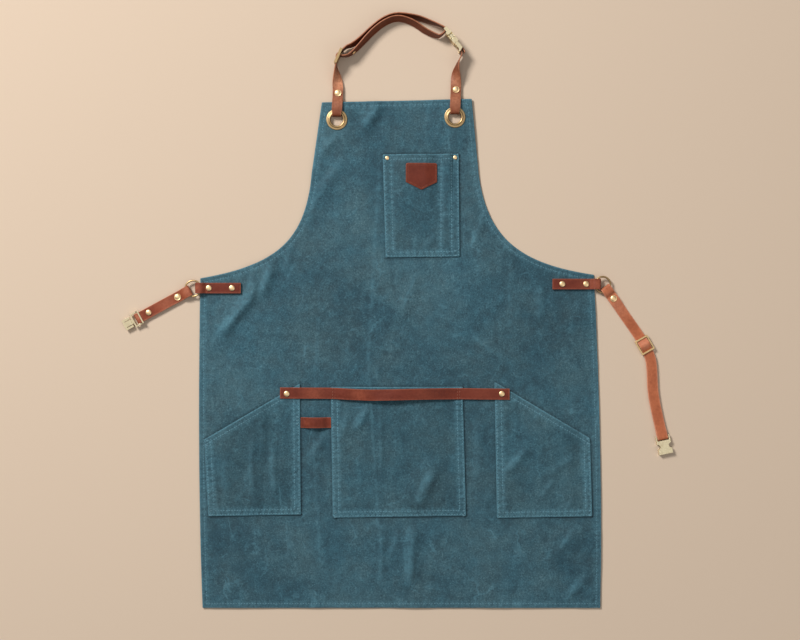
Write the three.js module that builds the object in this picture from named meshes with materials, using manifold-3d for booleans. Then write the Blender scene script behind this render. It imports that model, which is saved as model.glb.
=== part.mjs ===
// Work apron in waxed canvas with leather straps and metal fittings, laid flat with its front up.
// Millimetres, +Z up, the bib towards +Y. Plan places are measured from the middle of the bottom
// hem, and heights from the floor. At the end the whole apron is moved so that the origin lies
// on the floor under the middle of its box.

import * as THREE from 'three';
import { mergeVertices } from 'three/addons/utils/BufferGeometryUtils.js';
import Module from 'manifold-3d';

const wasm = await Module();
wasm.setup();

// Driving dimensions

const GAP = 0.3; // clearance between touching pieces
const CLOTH = 1.0; // thickness of one layer of canvas
const LEATHER = 2.0; // thickness of the straps
const STRAP_WIDTH = 18;
const ARC_STEPS = 12; // segments of one curve in an outline

const BODY = {
  hemWidth: 9, // turned hem, on the back
  hemDrop: 1.8, // thickness of the turned layers
  hem: { left: -339, right: 344 },
  side: { left: -349, right: 350, y: 240 }, // pull of the slightly bowed sides
  hip: { left: [-343, 566], right: [333, 572] },
  armhole: { left: [[-162, 627], [-216, 588]], right: [[149, 627], [217, 589.5]] },
  bib: { left: [-151.4, 747], right: [135, 747] },
  top: { left: [-134, 868], right: [123, 874] },
  pitch: 42, // spacing of the lines that the sheet bends on
};
const BODY_TOP = BODY.hemDrop + CLOTH;

// The bib lies over the folded straps at its two top corners, and is flat there.
const BIB_LIFT = 3.0;
const BIB_PADS = table(['x0', 'x1', 'y0', 'y1', 'fade'], [
  [-130, -86, 816, 880, 36],
  [73, 116, 816, 886, 36],
]);

// Soft folds of the skirt and the bib: a ridge from one point to the other.
const BODY_FOLDS = table(['x0', 'y0', 'x1', 'y1', 'reach', 'height'], [
  [-255, 580, -260, 540, 26, 7.0],
  [-260, 540, -292, 506, 26, 7.5],
  [-292, 506, -322, 452, 28, 5.5],
  [-222, 600, -238, 548, 24, 4.0],
  [-44, 872, -60, 828, 24, 4.5],
  [-143, 800, -147, 750, 22, 3.5],
  [-122, 728, -156, 684, 24, 3.0],
  [14, 116, 10, 54, 28, 5.0],
  [296, 124, 268, 92, 28, 4.0],
  [29, 575, 4, 512, 22, 2.5],
]);

// The canvas stays flat under the left tab, which is riveted to it beside the deepest fold.
const FLAT_PATCH = { x0: -360, x1: -271, y0: 538, y1: 561, fade: 14 };

// Patch pockets, corners in the order bottom left, bottom right, top right, top left.
const POCKET = { hemWidth: 10, hemDrop: 1.0, pitch: 24, rise: 0.3, depth: 0.8 };
const POCKET_FLOOR = BODY_TOP + GAP;
const POCKET_TOP = POCKET_FLOOR + POCKET.hemDrop + CLOTH;
const POCKETS = {
  chest_pocket: {
    corners: [[-24.4, 602], [102.5, 603.5], [101, 779.5], [-29.4, 778.5]],
    ease: table(['x0', 'x1', 'height'], [[-17, 66, 5.6], [72, 91, 5.2]]),
    folds: [],
  },
  hip_pocket_left: {
    corners: [[-329, 157.5], [-170.3, 160.5], [-172, 385], [-336, 289]],
    ease: table(['x0', 'x1', 'height'], [[-325, -213, 6.5]]),
    folds: table(['x0', 'y0', 'x1', 'y1', 'reach', 'height'], [
      [-254, 260, -254, 184, 26, 2.5],
      [-214, 240, -216, 190, 24, 2.0],
    ]),
  },
  center_pocket: {
    corners: [[-115.2, 155], [113.5, 158.5], [107.5, 381], [-118.7, 381]],
    ease: table(['x0', 'x1', 'height'], [[-104, 94, 5.2]]),
    folds: table(['x0', 'y0', 'x1', 'y1', 'reach', 'height'], [
      [54, 240, 28, 192, 30, 3.5],
      [-62, 340, -82, 312, 26, 2.5],
    ]),
  },
  hip_pocket_right: {
    corners: [[166.8, 154.5], [330, 157.5], [326.5, 291], [162.5, 388]],
    ease: table(['x0', 'x1', 'height'], [[202, 316, 6.5]]),
    folds: table(['x0', 'y0', 'x1', 'y1', 'reach', 'height'], [[214, 270, 190, 228, 28, 2.5]]),
  },
};

// Rings, straps and fittings. A buckle or slider holds its strap on a round bar, and its own sizes
// are measured from that bar: a along the strap, w across it, h away from the back.
const RING = { radius: 13.4, wire: 1.6, height: 7.0, tilt: 4 };
const RING_WRAP = RING.wire + 2 * GAP + LEATHER / 2; // leather's centre line over the wire
const RING_SLACK = 4.4; // the fold reaches past the wire, which curves back under the strap's edges
const BAR = { radius: 1.1, height: 3.7 };
const BAR_WRAP = BAR.radius + GAP + LEATHER / 2; // centre line of leather round a bar
const RAIL = { inner: 10.1, outer: 12.1 };
const SLIDER = { half: 13.5, endBar: 2.5, low: -1.0, shelf: 1.6, top: 3.3 };
const MALE = {
  back: -6.8, front: 9.2, endBar: 2.2, shelf: 4.2, top: 5.6, railTop: 3.7, low: -1.0, frontBar: 2.4,
  tip: 26.2, slot: 11.7, slit: 1.1, slitAt: 4.6, slitEnd: 22.7, half: 9.3, under: -0.7, plate: 1.1,
  face: 2.8,
};
const FEMALE = {
  armBack: -3.5, body: 4.6, mouth: 28, half: 12, low: -3.7, top: 3.5, notch: 4.6, notchAt: 14.5,
  cavity: { from: 8, half: 9.7, low: -2.4, top: 2.2 }, arm: [-2.3, 2.1],
};
const GROMMET = { hole: 10.8, barrel: 12.2, flange: 18, washer: 17, sides: 18 };
const GROMMETS = { left: [-108.4, 838.5], right: [94.2, 842.6] };
const RIVET = { post: 1.5, back: 3.8, backThick: 0.7, sides: 9 };

const TABS = {
  left: { x: -346.85, y: 549.2, heading: 0, length: 73.4, rivets: [18.9, 58.5] },
  right: { x: 340.4, y: 556.2, heading: 180, length: 78.6, rivets: [21.3, 62.1] },
};
const TAB_LAYERS = { lower: POCKET_FLOOR + LEATHER / 2, upper: POCKET_FLOOR + LEATHER * 1.5 + GAP };
const RINGS = {
  left: { x: -355, y: 548.5, heading: 208.4 },
  right: { x: 347.6, y: 555.2, heading: -51 },
};
const STRAP_LAYERS = { lower: 2.0, upper: 4.3 }; // centre heights of a strap's two layers at a rivet

const NECK_SLIDER = { x: -104.1, y: 945.2, z: 12.2, heading: 66, roll: -90 };
const NECK_FEMALE = { x: 78.6, y: 990.2, z: 12.4, heading: -53.1, roll: 90 };
const END_RIVET = { x: -80, y: 953.6, z: 10.8, heading: 40, roll: 80 };
const BUCKLE_JOIN = { along: 37.5, rise: -1.1 }; // the male bar, seen from the female bar

// Helpers

function table(columns, rows) {
  return rows.map((row) => Object.fromEntries(columns.map((name, i) => [name, row[i]])));
}

function toSolid(geometry) {
  const bare = geometry.clone();
  bare.deleteAttribute('normal');
  bare.deleteAttribute('uv');
  const merged = mergeVertices(bare, 1e-4);
  return new wasm.Manifold(new wasm.Mesh({
    numProp: 3,
    vertProperties: new Float32Array(merged.attributes.position.array),
    triVerts: new Uint32Array(merged.index.array),
  }));
}

function toGeometry(solid) {
  const mesh = solid.getMesh();
  const geometry = new THREE.BufferGeometry();
  geometry.setAttribute('position', new THREE.BufferAttribute(mesh.vertProperties, 3));
  geometry.setIndex(new THREE.BufferAttribute(mesh.triVerts, 1));
  geometry.computeVertexNormals();
  return geometry;
}

function polygon(points) {
  return new THREE.Shape(points.map(([x, y]) => new THREE.Vector2(x, y)));
}

function prism(shape, low, high, curveSegments = ARC_STEPS) {
  const options = { depth: high - low, bevelEnabled: false, curveSegments };
  return toSolid(new THREE.ExtrudeGeometry(shape, options).translate(0, 0, low));
}

function block(x0, x1, y0, y1, z0, z1) {
  const box = new THREE.BoxGeometry(x1 - x0, y1 - y0, z1 - z0);
  return toSolid(box.translate((x0 + x1) / 2, (y0 + y1) / 2, (z0 + z1) / 2));
}

function drill(x, y, radius, low, high, sides = 8) {
  const bit = new THREE.CylinderGeometry(radius, radius, high - low, sides);
  return toSolid(bit.rotateX(Math.PI / 2).translate(x, y, (low + high) / 2));
}

// Moves each side of a counter-clockwise polygon inwards by the same distance.
function inset(points, distance) {
  return points.map((point, i) => {
    const before = points[(i + points.length - 1) % points.length];
    const after = points[(i + 1) % points.length];
    const arrive = point.clone().sub(before).normalize();
    const leave = after.clone().sub(point).normalize();
    const miter = new THREE.Vector2(-arrive.y - leave.y, arrive.x + leave.x);
    const stretch = distance / (1 + arrive.dot(leave));
    return point.clone().addScaledVector(miter, stretch);
  });
}

// Even lines from one value to another, with the fixed ones and, where there is room, the wished
// ones put in place of their neighbours.
function lines(from, to, pitch, fixed = [], wished = []) {
  const kept = [from, to];
  const add = (values, room) => values.forEach((value) => {
    const inside = value >= from && value <= to;
    if (inside && kept.every((other) => Math.abs(other - value) >= room)) kept.push(value);
  });
  const count = Math.ceil((to - from) / pitch);
  add(fixed, 2);
  add(wished, pitch * 0.45);
  add(Array.from({ length: count }, (_, i) => from + ((to - from) * i) / count), pitch * 0.6);
  return kept.sort((a, b) => a - b);
}

// A sheet over a grid of lines, between two height functions.
function sheet(xs, ys, low, high) {
  const geometry = new THREE.BoxGeometry(1, 1, 1, xs.length - 1, ys.length - 1, 1);
  const place = geometry.attributes.position;
  for (let i = 0; i < place.count; i += 1) {
    const x = xs[Math.round((place.getX(i) + 0.5) * (xs.length - 1))];
    const y = ys[Math.round((place.getY(i) + 0.5) * (ys.length - 1))];
    place.setXYZ(i, x, y, place.getZ(i) > 0 ? high(x, y) : low(x, y));
  }
  return toSolid(geometry);
}

// Canvas cut to an outline: as thick as its turned hem at the edges, one layer inside them.
function hemmedSheet(shape, xs, ys, height, hem) {
  const points = shape.getPoints(ARC_STEPS);
  const outline = points.filter((point, i) => point.distanceTo(points.at(i - 1)) > 0.01);
  const [floor, ceiling] = [-50, 80];
  const cut = prism(new THREE.Shape(outline), floor, ceiling);
  const inside = prism(new THREE.Shape(inset(outline, hem.hemWidth)), floor, ceiling);
  const face = (x, y) => height(x, y) + hem.hemDrop;
  const back = sheet(xs, ys, (x, y) => height(x, y) - hem.hemDrop, face).intersect(inside);
  return sheet(xs, ys, height, (x, y) => face(x, y) + CLOTH).intersect(cut).subtract(back);
}

function foldHeight(folds, x, y) {
  const spot = new THREE.Vector3(x, y, 0);
  const near = new THREE.Vector3();
  return folds.reduce((sum, fold) => {
    const from = new THREE.Vector3(fold.x0, fold.y0, 0);
    const ridge = new THREE.Line3(from, new THREE.Vector3(fold.x1, fold.y1, 0));
    const away = ridge.closestPointToPoint(spot, true, near).distanceTo(spot) / fold.reach;
    return Math.max(sum, fold.height * Math.max(0, 1 - away * away) ** 1.5);
  }, 0);
}

function foldLines(folds, from, to) {
  return folds.flatMap((fold) => [fold[from], (fold[from] + fold[to]) / 2, fold[to]]);
}

// Canvas

function bodyShape() {
  const shape = new THREE.Shape();
  shape.moveTo(BODY.hem.left, 0);
  shape.lineTo(BODY.hem.right, 0);
  shape.quadraticCurveTo(BODY.side.right, BODY.side.y, ...BODY.hip.right);
  shape.bezierCurveTo(...BODY.armhole.right[1], ...BODY.armhole.right[0], ...BODY.bib.right);
  shape.lineTo(...BODY.top.right);
  shape.lineTo(...BODY.top.left);
  shape.lineTo(...BODY.bib.left);
  shape.bezierCurveTo(...BODY.armhole.left[0], ...BODY.armhole.left[1], ...BODY.hip.left);
  shape.quadraticCurveTo(BODY.side.left, BODY.side.y, BODY.hem.left, 0);
  return shape;
}

function flatness(x, y) {
  const { x0, x1, y0, y1, fade } = FLAT_PATCH;
  const off = Math.max(x0 - x, x - x1, y0 - y, y - y1, 0);
  return Math.min(1, off / fade);
}

function padHeight(x, y) {
  return BIB_PADS.reduce((most, pad) => {
    const off = Math.max(pad.x0 - x, x - pad.x1, pad.y0 - y, y - pad.y1, 0);
    return Math.max(most, BIB_LIFT * Math.max(0, 1 - off / pad.fade));
  }, 0);
}

function buildBody() {
  const padX = BIB_PADS.flatMap((pad) => [pad.x0 - pad.fade, pad.x0, pad.x1, pad.x1 + pad.fade]);
  const padY = BIB_PADS.flatMap((pad) => [pad.y0 - pad.fade, pad.y0]);
  const { x1, y0, y1 } = FLAT_PATCH;
  const xs = lines(-354, 354, BODY.pitch, [...padX, x1], foldLines(BODY_FOLDS, 'x0', 'x1'));
  const ys = lines(-4, 880, BODY.pitch, [...padY, y0, y1], foldLines(BODY_FOLDS, 'y0', 'y1'));
  const fold = (x, y) => foldHeight(BODY_FOLDS, x, y) * flatness(x, y);
  const height = (x, y) => Math.max(padHeight(x, y), fold(x, y));
  return hemmedSheet(bodyShape(), xs, ys, height, BODY);
}

function pocketHeight(pocket) {
  const [bottomLeft, , topRight, topLeft] = pocket.corners;
  return (x, y) => {
    const mouth = THREE.MathUtils.mapLinear(x, topLeft[0], topRight[0], topLeft[1], topRight[1]);
    const deep = (mouth - y) / (POCKET.depth * (mouth - bottomLeft[1]));
    const fall = 1 - THREE.MathUtils.smoothstep(deep, 0, 1);
    const ease = pocket.ease.reduce((sum, part) => {
      const u = (x - part.x0) / (part.x1 - part.x0);
      const side = THREE.MathUtils.smoothstep(Math.min(u, 1 - u), 0, POCKET.rise);
      return sum + part.height * side * fall;
    }, 0);
    return POCKET_FLOOR + Math.max(ease, foldHeight(pocket.folds, x, y));
  };
}

function pocketLines(pocket) {
  const across = pocket.corners.map(([x]) => x);
  const up = pocket.corners.map(([, y]) => y);
  const seams = pocket.ease.flatMap(({ x0, x1 }) => {
    const rise = POCKET.rise * (x1 - x0);
    return [x0, x0 + rise, x1 - rise, x1];
  });
  const edge = 4;
  return {
    xs: lines(Math.min(...across) - edge, Math.max(...across) + edge, POCKET.pitch, seams),
    ys: lines(Math.min(...up) - edge, Math.max(...up) + edge, POCKET.pitch),
  };
}

function buildPocket(pocket) {
  const { xs, ys } = pocketLines(pocket);
  return hemmedSheet(polygon(pocket.corners), xs, ys, pocketHeight(pocket), POCKET);
}

// Leather

const radians = THREE.MathUtils.degToRad;

// A flat strap bent along rows of x, y, z: turn and roll point its width, wide squeezes it.
function strap(rows, width = STRAP_WIDTH, steps = 1) {
  const path = new THREE.CatmullRomCurve3(rows.map((row) => new THREE.Vector3(row.x, row.y, row.z)));
  const spans = rows.length - 1;
  const geometry = new THREE.BoxGeometry(width, LEATHER, 1, 1, 1, spans * steps);
  const place = geometry.attributes.position;
  for (let i = 0; i < place.count; i += 1) {
    const along = THREE.MathUtils.clamp(place.getZ(i) + 0.5, 0, 1);
    const span = Math.min(Math.floor(along * spans), spans - 1);
    const [row, next] = [rows[span], rows[span + 1]];
    const mix = (from, to) => THREE.MathUtils.lerp(from, to, along * spans - span);
    const [turn, roll] = [radians(mix(row.turn, next.turn)), radians(mix(row.roll, next.roll))];
    const wide = mix(row.wide ?? 1, next.wide ?? 1);
    const tangent = path.getTangent(along);
    const flat = Math.cos(roll);
    const across = new THREE.Vector3(flat * Math.cos(turn), flat * Math.sin(turn), Math.sin(roll));
    const normal = tangent.clone().cross(across).normalize();
    across.crossVectors(normal, tangent);
    const spot = path.getPoint(along).addScaledVector(across, wide * place.getX(i));
    spot.addScaledVector(normal, place.getY(i));
    place.setXYZ(i, spot.x, spot.y, spot.z);
  }
  return toSolid(geometry);
}

// Rows of a strap that lies along a plan curve: s runs along it, z is the height.
function route(plan, profile) {
  const length = plan.getLength();
  return profile.map(({ s, z }) => {
    const inside = THREE.MathUtils.clamp(s, 0, length);
    const spot = plan.getPointAt(inside / length);
    const tangent = plan.getTangentAt(inside / length);
    spot.addScaledVector(tangent, s - inside);
    const turn = THREE.MathUtils.radToDeg(Math.atan2(tangent.x, -tangent.y));
    return { x: spot.x, y: spot.y, z, turn, roll: 0 };
  });
}

function arc(s, z, radius, from, to, count = 6) {
  return Array.from({ length: count + 1 }, (_, i) => {
    const angle = radians(from + ((to - from) * i) / count);
    return { s: s + radius * Math.cos(angle), z: z + radius * Math.sin(angle) };
  });
}

function line(from, heading, length) {
  const start = new THREE.Vector3(...from, 0);
  const step = new THREE.Vector3(Math.cos(radians(heading)), Math.sin(radians(heading)), 0);
  return new THREE.LineCurve3(start, start.clone().addScaledVector(step, length));
}

// Height of a tilted ring's wire in the direction of a heading: its strap pulls it down.
function wireHeight(ring, heading) {
  const drop = RING.radius * Math.sin(radians(RING.tilt));
  return RING.height - drop * Math.cos(radians(heading - ring.heading));
}

function ringEdge(ring) {
  const away = radians(ring.heading);
  return [ring.x + RING.radius * Math.cos(away), ring.y + RING.radius * Math.sin(away)];
}

function buildTab(tab, ring) {
  const { lower, upper } = TAB_LAYERS;
  const over = wireHeight(ring, tab.heading) + RING_WRAP;
  const [middle, bend] = [(lower + over) / 2, (over - lower) / 2];
  const climb = { rest: 6.5, foot: 13.4 };
  const profile = [
    ...table(['s', 'z'], [[tab.length, lower], [tab.length / 2, lower], [climb.foot, lower]]),
    ...arc(0, middle, bend, -90, -270),
    ...table(['s', 'z'], [[climb.rest, over], [climb.foot, upper], [climb.foot + 3, upper]]),
    ...table(['s', 'z'], [[tab.length / 2, upper], [tab.length, upper]]),
  ];
  return strap(route(line([tab.x, tab.y], tab.heading, tab.length), profile));
}

// The end of a strap folded round a ring, snapped to itself, up to the place where it lies free.
const SNAP_AT = 17;
function ringEnd(ring) {
  const wire = wireHeight(ring, ring.heading);
  const { lower, upper } = STRAP_LAYERS;
  return [
    ...table(['s', 'z'], [[SNAP_AT + 13, lower], [SNAP_AT, lower], [6, wire - RING_WRAP + 0.2]]),
    ...arc(-RING_SLACK, wire, RING_WRAP, -90, -270),
    ...table(['s', 'z'], [[0, wire + RING_WRAP], [5, wire + 1.7], [10.5, upper], [SNAP_AT, upper]]),
    ...table(['s', 'z'], [[SNAP_AT + 8, upper]]),
  ];
}

const LEFT_PLAN = line(ringEdge(RINGS.left), RINGS.left.heading, 95);
const LEFT_RIVET_AT = 73.4;
function buildWaistStrapLeft() {
  const bar = LEFT_PLAN.getLength();
  const { lower, upper } = STRAP_LAYERS;
  return strap(route(LEFT_PLAN, [
    ...ringEnd(RINGS.left),
    ...table(['s', 'z'], [[50, upper], [LEFT_RIVET_AT - 7, upper], [LEFT_RIVET_AT + 6, upper]]),
    ...table(['s', 'z'], [[bar - 10, upper + 0.9], [bar - 5.6, BAR.height + BAR_WRAP]]),
    ...arc(bar, BAR.height, BAR_WRAP, 90, -90),
    ...table(['s', 'z'], [[bar - 8, BAR.height - BAR_WRAP], [LEFT_RIVET_AT, lower]]),
    ...table(['s', 'z'], [[LEFT_RIVET_AT - 9, lower]]),
  ]));
}

const RIGHT_PLAN = new THREE.CatmullRomCurve3(table(['x', 'y'], [
  [ringEdge(RINGS.right)[0], ringEdge(RINGS.right)[1]],
  [368, 529], [388, 500], [410.6, 467], [428.6, 433.8], [432, 416], [433, 385], [438, 352],
  [450.9, 292.3],
]).map(({ x, y }) => new THREE.Vector3(x, y, 0)));
const SLIDER_AT = 113;
function buildWaistStrapRight() {
  const bar = RIGHT_PLAN.getLength();
  const under = BAR.height - BAR_WRAP;
  const doubled = under + LEATHER + GAP + 0.1;
  const crest = BAR.height + BAR_WRAP + LEATHER + GAP;
  return strap(route(RIGHT_PLAN, [
    ...ringEnd(RINGS.right),
    ...table(['s', 'z'], [[34, 2.4], [46, 1.3], [80, 1.3], [SLIDER_AT - 18, 2.4], [SLIDER_AT - 12, 3.5]]),
    ...table(['s', 'z'], [[SLIDER_AT - 6, 6.2], [SLIDER_AT, crest], [SLIDER_AT + 6, 6.2]]),
    ...table(['s', 'z'], [[SLIDER_AT + 10.8, doubled], [SLIDER_AT + 30, doubled], [200, doubled]]),
    ...table(['s', 'z'], [[bar - 20, doubled], [bar - 7, BAR.height + BAR_WRAP - 0.3]]),
    ...arc(bar, BAR.height, BAR_WRAP, 90, -90),
    ...table(['s', 'z'], [[bar - 20, under], [200, under], [SLIDER_AT + 30, under], [SLIDER_AT + 9, under]]),
    ...arc(SLIDER_AT, BAR.height, BAR_WRAP, -90, -245),
  ]));
}

// A row in the frame of a fitting that stands on its edge.
function edgeRow(frame, a, h) {
  const heading = radians(frame.heading);
  const side = -Math.sign(frame.roll);
  return {
    x: frame.x + a * Math.cos(heading) - side * h * Math.sin(heading),
    y: frame.y + a * Math.sin(heading) + side * h * Math.cos(heading),
    z: frame.z,
    turn: frame.heading + 90,
    roll: 90,
  };
}

function edgeRows(frame, turn, rows) {
  return rows.map(([a, h]) => ({ ...edgeRow(frame, a, h), turn }));
}

function edgeArc(frame, turn, from, to) {
  return edgeRows(frame, turn, arc(0, 0, BAR_WRAP, from, to).map(({ s, z }) => [s, z]));
}

const NECK_MALE = {
  ...edgeRow(NECK_FEMALE, BUCKLE_JOIN.along, BUCKLE_JOIN.rise),
  heading: NECK_FEMALE.heading + 180,
  roll: -NECK_FEMALE.roll,
};

// A neck strap's end, folded through a grommet and snapped to itself.
const NECK_FOLD = { radius: 4.0, height: 5.6, above: 9.6, squeeze: 0.84 };
function grommetEnd({ x, snapX, eye, edge, snap, turn }) {
  const { lower, upper } = STRAP_LAYERS;
  const { radius, height, above, squeeze } = NECK_FOLD;
  const fold = eye + above;
  const [low, high] = [height - radius, height + radius];
  const profile = [
    ...table(['s', 'z'], [[snap + 10, lower], [snap, lower], [edge + 2, low], [fold + 7, low]]),
    ...arc(fold, height, radius, -90, -270).map((row) => ({ ...row, wide: squeeze })),
    ...table(['s', 'z'], [[fold + 7, high], [fold + 11, high - 0.2], [edge, high - 1.9]]),
    ...table(['s', 'z'], [[snap - 7.5, upper + 0.3], [snap - 4, upper], [snap + 6.5, upper]]),
  ];
  const across = (s) => THREE.MathUtils.mapLinear(Math.min(s, snap), fold, snap, x, snapX);
  return profile.map(({ s, z, wide }) => ({ x: across(s), y: s, z, turn, roll: 0, wide }));
}

const NECK_LEFT = { x: -108.4, snapX: -106.6, eye: GROMMETS.left[1], edge: 868, snap: 884, turn: 180 };
const NECK_RIGHT = { x: 94.2, snapX: 96, eye: GROMMETS.right[1], edge: 873.6, snap: 890, turn: 0 };
const NECK_COLUMNS = ['x', 'y', 'z', 'turn', 'roll'];
function buildNeckStrapLong() {
  const crest = BAR_WRAP + LEATHER + GAP;
  return strap([
    ...grommetEnd(NECK_LEFT),
    ...table(NECK_COLUMNS, [
      [-107, 899, 5.0, 180, 14], [-107.8, 909, 7.0, 178, 38], [-109, 919, 9.8, 170, 64],
    ]),
    ...edgeRows(NECK_SLIDER, 156, [[-14, -0.5], [-11, -0.1], [-6, 2.4], [0, crest], [6, 2.4], [11, -0.2]]),
    ...table(NECK_COLUMNS, [
      [-92, 961.5, 11.4, 128, 84], [-80.5, 966.4, 10.4, 126, 74], [-67.8, 975.2, 9.8, 130, 68],
      [-47.4, 993.7, 9.6, 128, 66], [-31.1, 1006.4, 9.6, 118, 66], [-15.5, 1013.9, 9.6, 104, 66],
      [-1.9, 1016, 9.6, 90, 66], [16.1, 1014.6, 9.7, 80, 68], [34.1, 1011.2, 10, 72, 72],
      [52.2, 1004.6, 10.8, 66, 78], [68, 998.6, 12, 55, 89],
    ]),
    ...edgeArc(NECK_FEMALE, 50, -85, 75),
    ...table(NECK_COLUMNS, [
      [73.2, 984, 12, 60, 88], [66, 980.8, 11, 66, 80], [55.4, 984, 10.2, 62, 72],
      [41.5, 991.2, 9.8, 60, 68], [26.6, 1001.4, 9.6, 62, 66], [13.9, 1007.6, 9.6, 72, 66],
      [-1.6, 1011.2, 9.6, 90, 66], [-14.2, 1009.4, 9.6, 104, 66], [-29.4, 1002, 9.6, 118, 66],
      [-45.2, 989.6, 9.6, 128, 66], [-57, 977.6, 9.7, 130, 68], [-70.3, 963.1, 10, 130, 74],
      [-80, 953.6, 10.8, 126, 80], [-88, 948.2, 11.6, 130, 86],
    ]),
    ...edgeRows(NECK_SLIDER, 156, [[4.6, -7.5], [2.9, -3.6]]),
    ...edgeArc(NECK_SLIDER, 156, 0, 165),
  ]);
}

function buildNeckStrapShort() {
  return strap([
    ...grommetEnd(NECK_RIGHT),
    ...table(NECK_COLUMNS, [
      [96, 905, 5.0, 0, 14], [96.3, 915, 7.0, 2, 38], [97.6, 926, 9.8, 10, 64], [100.6, 938, 11.6, 20, 84],
    ]),
    ...edgeRows(NECK_MALE, 37, [[-11.3, 3.9], [-7.8, 2.7], [-5.4, BAR_WRAP]]),
    ...edgeArc(NECK_MALE, 37, 90, -90),
    ...edgeRows(NECK_MALE, 37, [[-6.8, -BAR_WRAP], [-11.8, -1.6]]),
  ]);
}

const STRIP_WIDTH = 19;
const STRIP_REST = POCKET_TOP + GAP + LEATHER / 2;
function buildTowelStrip() {
  const rows = table(['x', 'y', 'z'], [
    [-205.7, 369.3, STRIP_REST], [-160, 369, STRIP_REST], [-115, 368.6, STRIP_REST],
    [-84, 367.2, 12.4], [-52, 366.2, 17.2], [-14, 366.6, 18.6], [30, 367.6, 16.6], [72, 368, 11.4],
    [101, 368, STRIP_REST], [140, 367.6, STRIP_REST], [187.8, 367.2, STRIP_REST],
  ]);
  return strap(rows.map((row) => ({ ...row, turn: 90, roll: 0 })), STRIP_WIDTH, 3);
}

function buildToolLoop() {
  const rest = POCKET_FLOOR + LEATHER / 2;
  const rows = table(['x', 'y', 'z'], [
    [-170.4, 318.3, rest], [-164, 318.3, rest + 0.4], [-155, 318.3, rest + 4.6], [-144.6, 318.3, rest + 6.2],
    [-134, 318.3, rest + 4.6], [-125, 318.3, rest + 0.4], [-118.6, 318.3, rest],
  ]);
  return strap(rows.map((row) => ({ ...row, turn: 90, roll: 0 })));
}

const BADGE = { left: 10, right: 63.6, top: 763.5, shoulder: 731, tip: [37, 717.8], corner: 4, gap: 0.6 };
function buildBadge() {
  const { left, right, top, shoulder, tip, corner } = BADGE;
  const shape = new THREE.Shape();
  shape.moveTo(...tip);
  shape.lineTo(right, shoulder);
  shape.lineTo(right, top - corner);
  shape.quadraticCurveTo(right, top, right - corner, top);
  shape.lineTo(left + corner, top);
  shape.quadraticCurveTo(left, top, left, top - corner);
  shape.lineTo(left, shoulder);
  const pocket = POCKETS.chest_pocket;
  const { xs, ys } = pocketLines(pocket);
  const height = pocketHeight(pocket);
  const back = (x, y) => height(x, y) + POCKET.hemDrop + CLOTH + BADGE.gap;
  return sheet(xs, ys, back, (x, y) => back(x, y) + LEATHER).intersect(prism(shape, 0, 50, 3));
}

// Metal

// A solid turned round an upright axis from a profile of radius and height.
function turned(profile, sides) {
  const points = profile.map(([radius, height]) => new THREE.Vector2(radius, height));
  return toSolid(new THREE.LatheGeometry(points, sides).rotateX(Math.PI / 2));
}

function buildGrommet() {
  const { hole, barrel, flange, washer, sides } = GROMMET;
  const back = BIB_LIFT + BODY.hemDrop - GAP;
  const front = BIB_LIFT + BODY_TOP + GAP;
  return turned([
    [hole, back - 0.8], [hole + 0.4, back - 1.2], [washer, back - 1.2], [washer, back], [barrel, back],
    [barrel, front], [flange - 0.3, front], [flange, front + 0.5], [flange - 0.8, front + 1.2],
    [14.6, front + 1.3], [13.8, front + 2.0], [12, front + 2.2], [hole, front + 1.4], [hole, back - 0.8],
  ], sides);
}

function buildRing(ring) {
  const torus = new THREE.TorusGeometry(RING.radius, RING.wire, 6, 20);
  return toSolid(torus.rotateY(radians(RING.tilt)).rotateZ(radians(ring.heading)));
}

function crossBar(half) {
  return toSolid(new THREE.CylinderGeometry(BAR.radius, BAR.radius, 2 * half, 10));
}

// The two side rails of a slider or buckle, from their outline seen from the side.
function bothRails(points) {
  const { inner, outer } = RAIL;
  const options = { depth: outer - inner, bevelEnabled: false };
  const rail = new THREE.ExtrudeGeometry(polygon(points), options).rotateX(Math.PI / 2);
  return toSolid(rail.clone().translate(0, outer, 0)).add(toSolid(rail.translate(0, -inner, 0)));
}

function buildSlider() {
  const { half, endBar, low, shelf, top } = SLIDER;
  const { outer } = RAIL;
  return bothRails([[-half, low], [half, low], [half, top], [-half, top]])
    .add(block(-half, endBar - half, -outer, outer, shelf, top))
    .add(block(half - endBar, half, -outer, outer, shelf, top))
    .add(crossBar(outer - 0.4));
}

function buildMale() {
  const { back, front, endBar, shelf, top, railTop, low, frontBar, tip, slot, half } = MALE;
  const { slit, slitAt, slitEnd, under, plate, face } = MALE;
  const { outer } = RAIL;
  const slits = block(slot - 1, slitEnd, slitAt, slitAt + slit, -9, 9)
    .add(block(slot - 1, slitEnd, -slitAt - slit, -slitAt, -9, 9));
  const spring = block(slot, tip, -half, half, under, face)
    .subtract(block(slot - 1, slitEnd, -slitAt, slitAt, under - 1, plate))
    .subtract(slits);
  return bothRails([[back, shelf], [back + 3, low], [front, low], [front, railTop], [-2, railTop],
    [back + endBar, top], [back, top]])
    .add(block(back, back + endBar, -outer, outer, shelf, top))
    .add(block(front - frontBar, front, -outer, outer, low, railTop))
    .add(crossBar(outer - 0.4))
    .add(block(front - 0.5, slitEnd + 0.5, -slitAt + 0.4, slitAt - 0.4, under, plate + 0.3))
    .add(spring);
}

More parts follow.
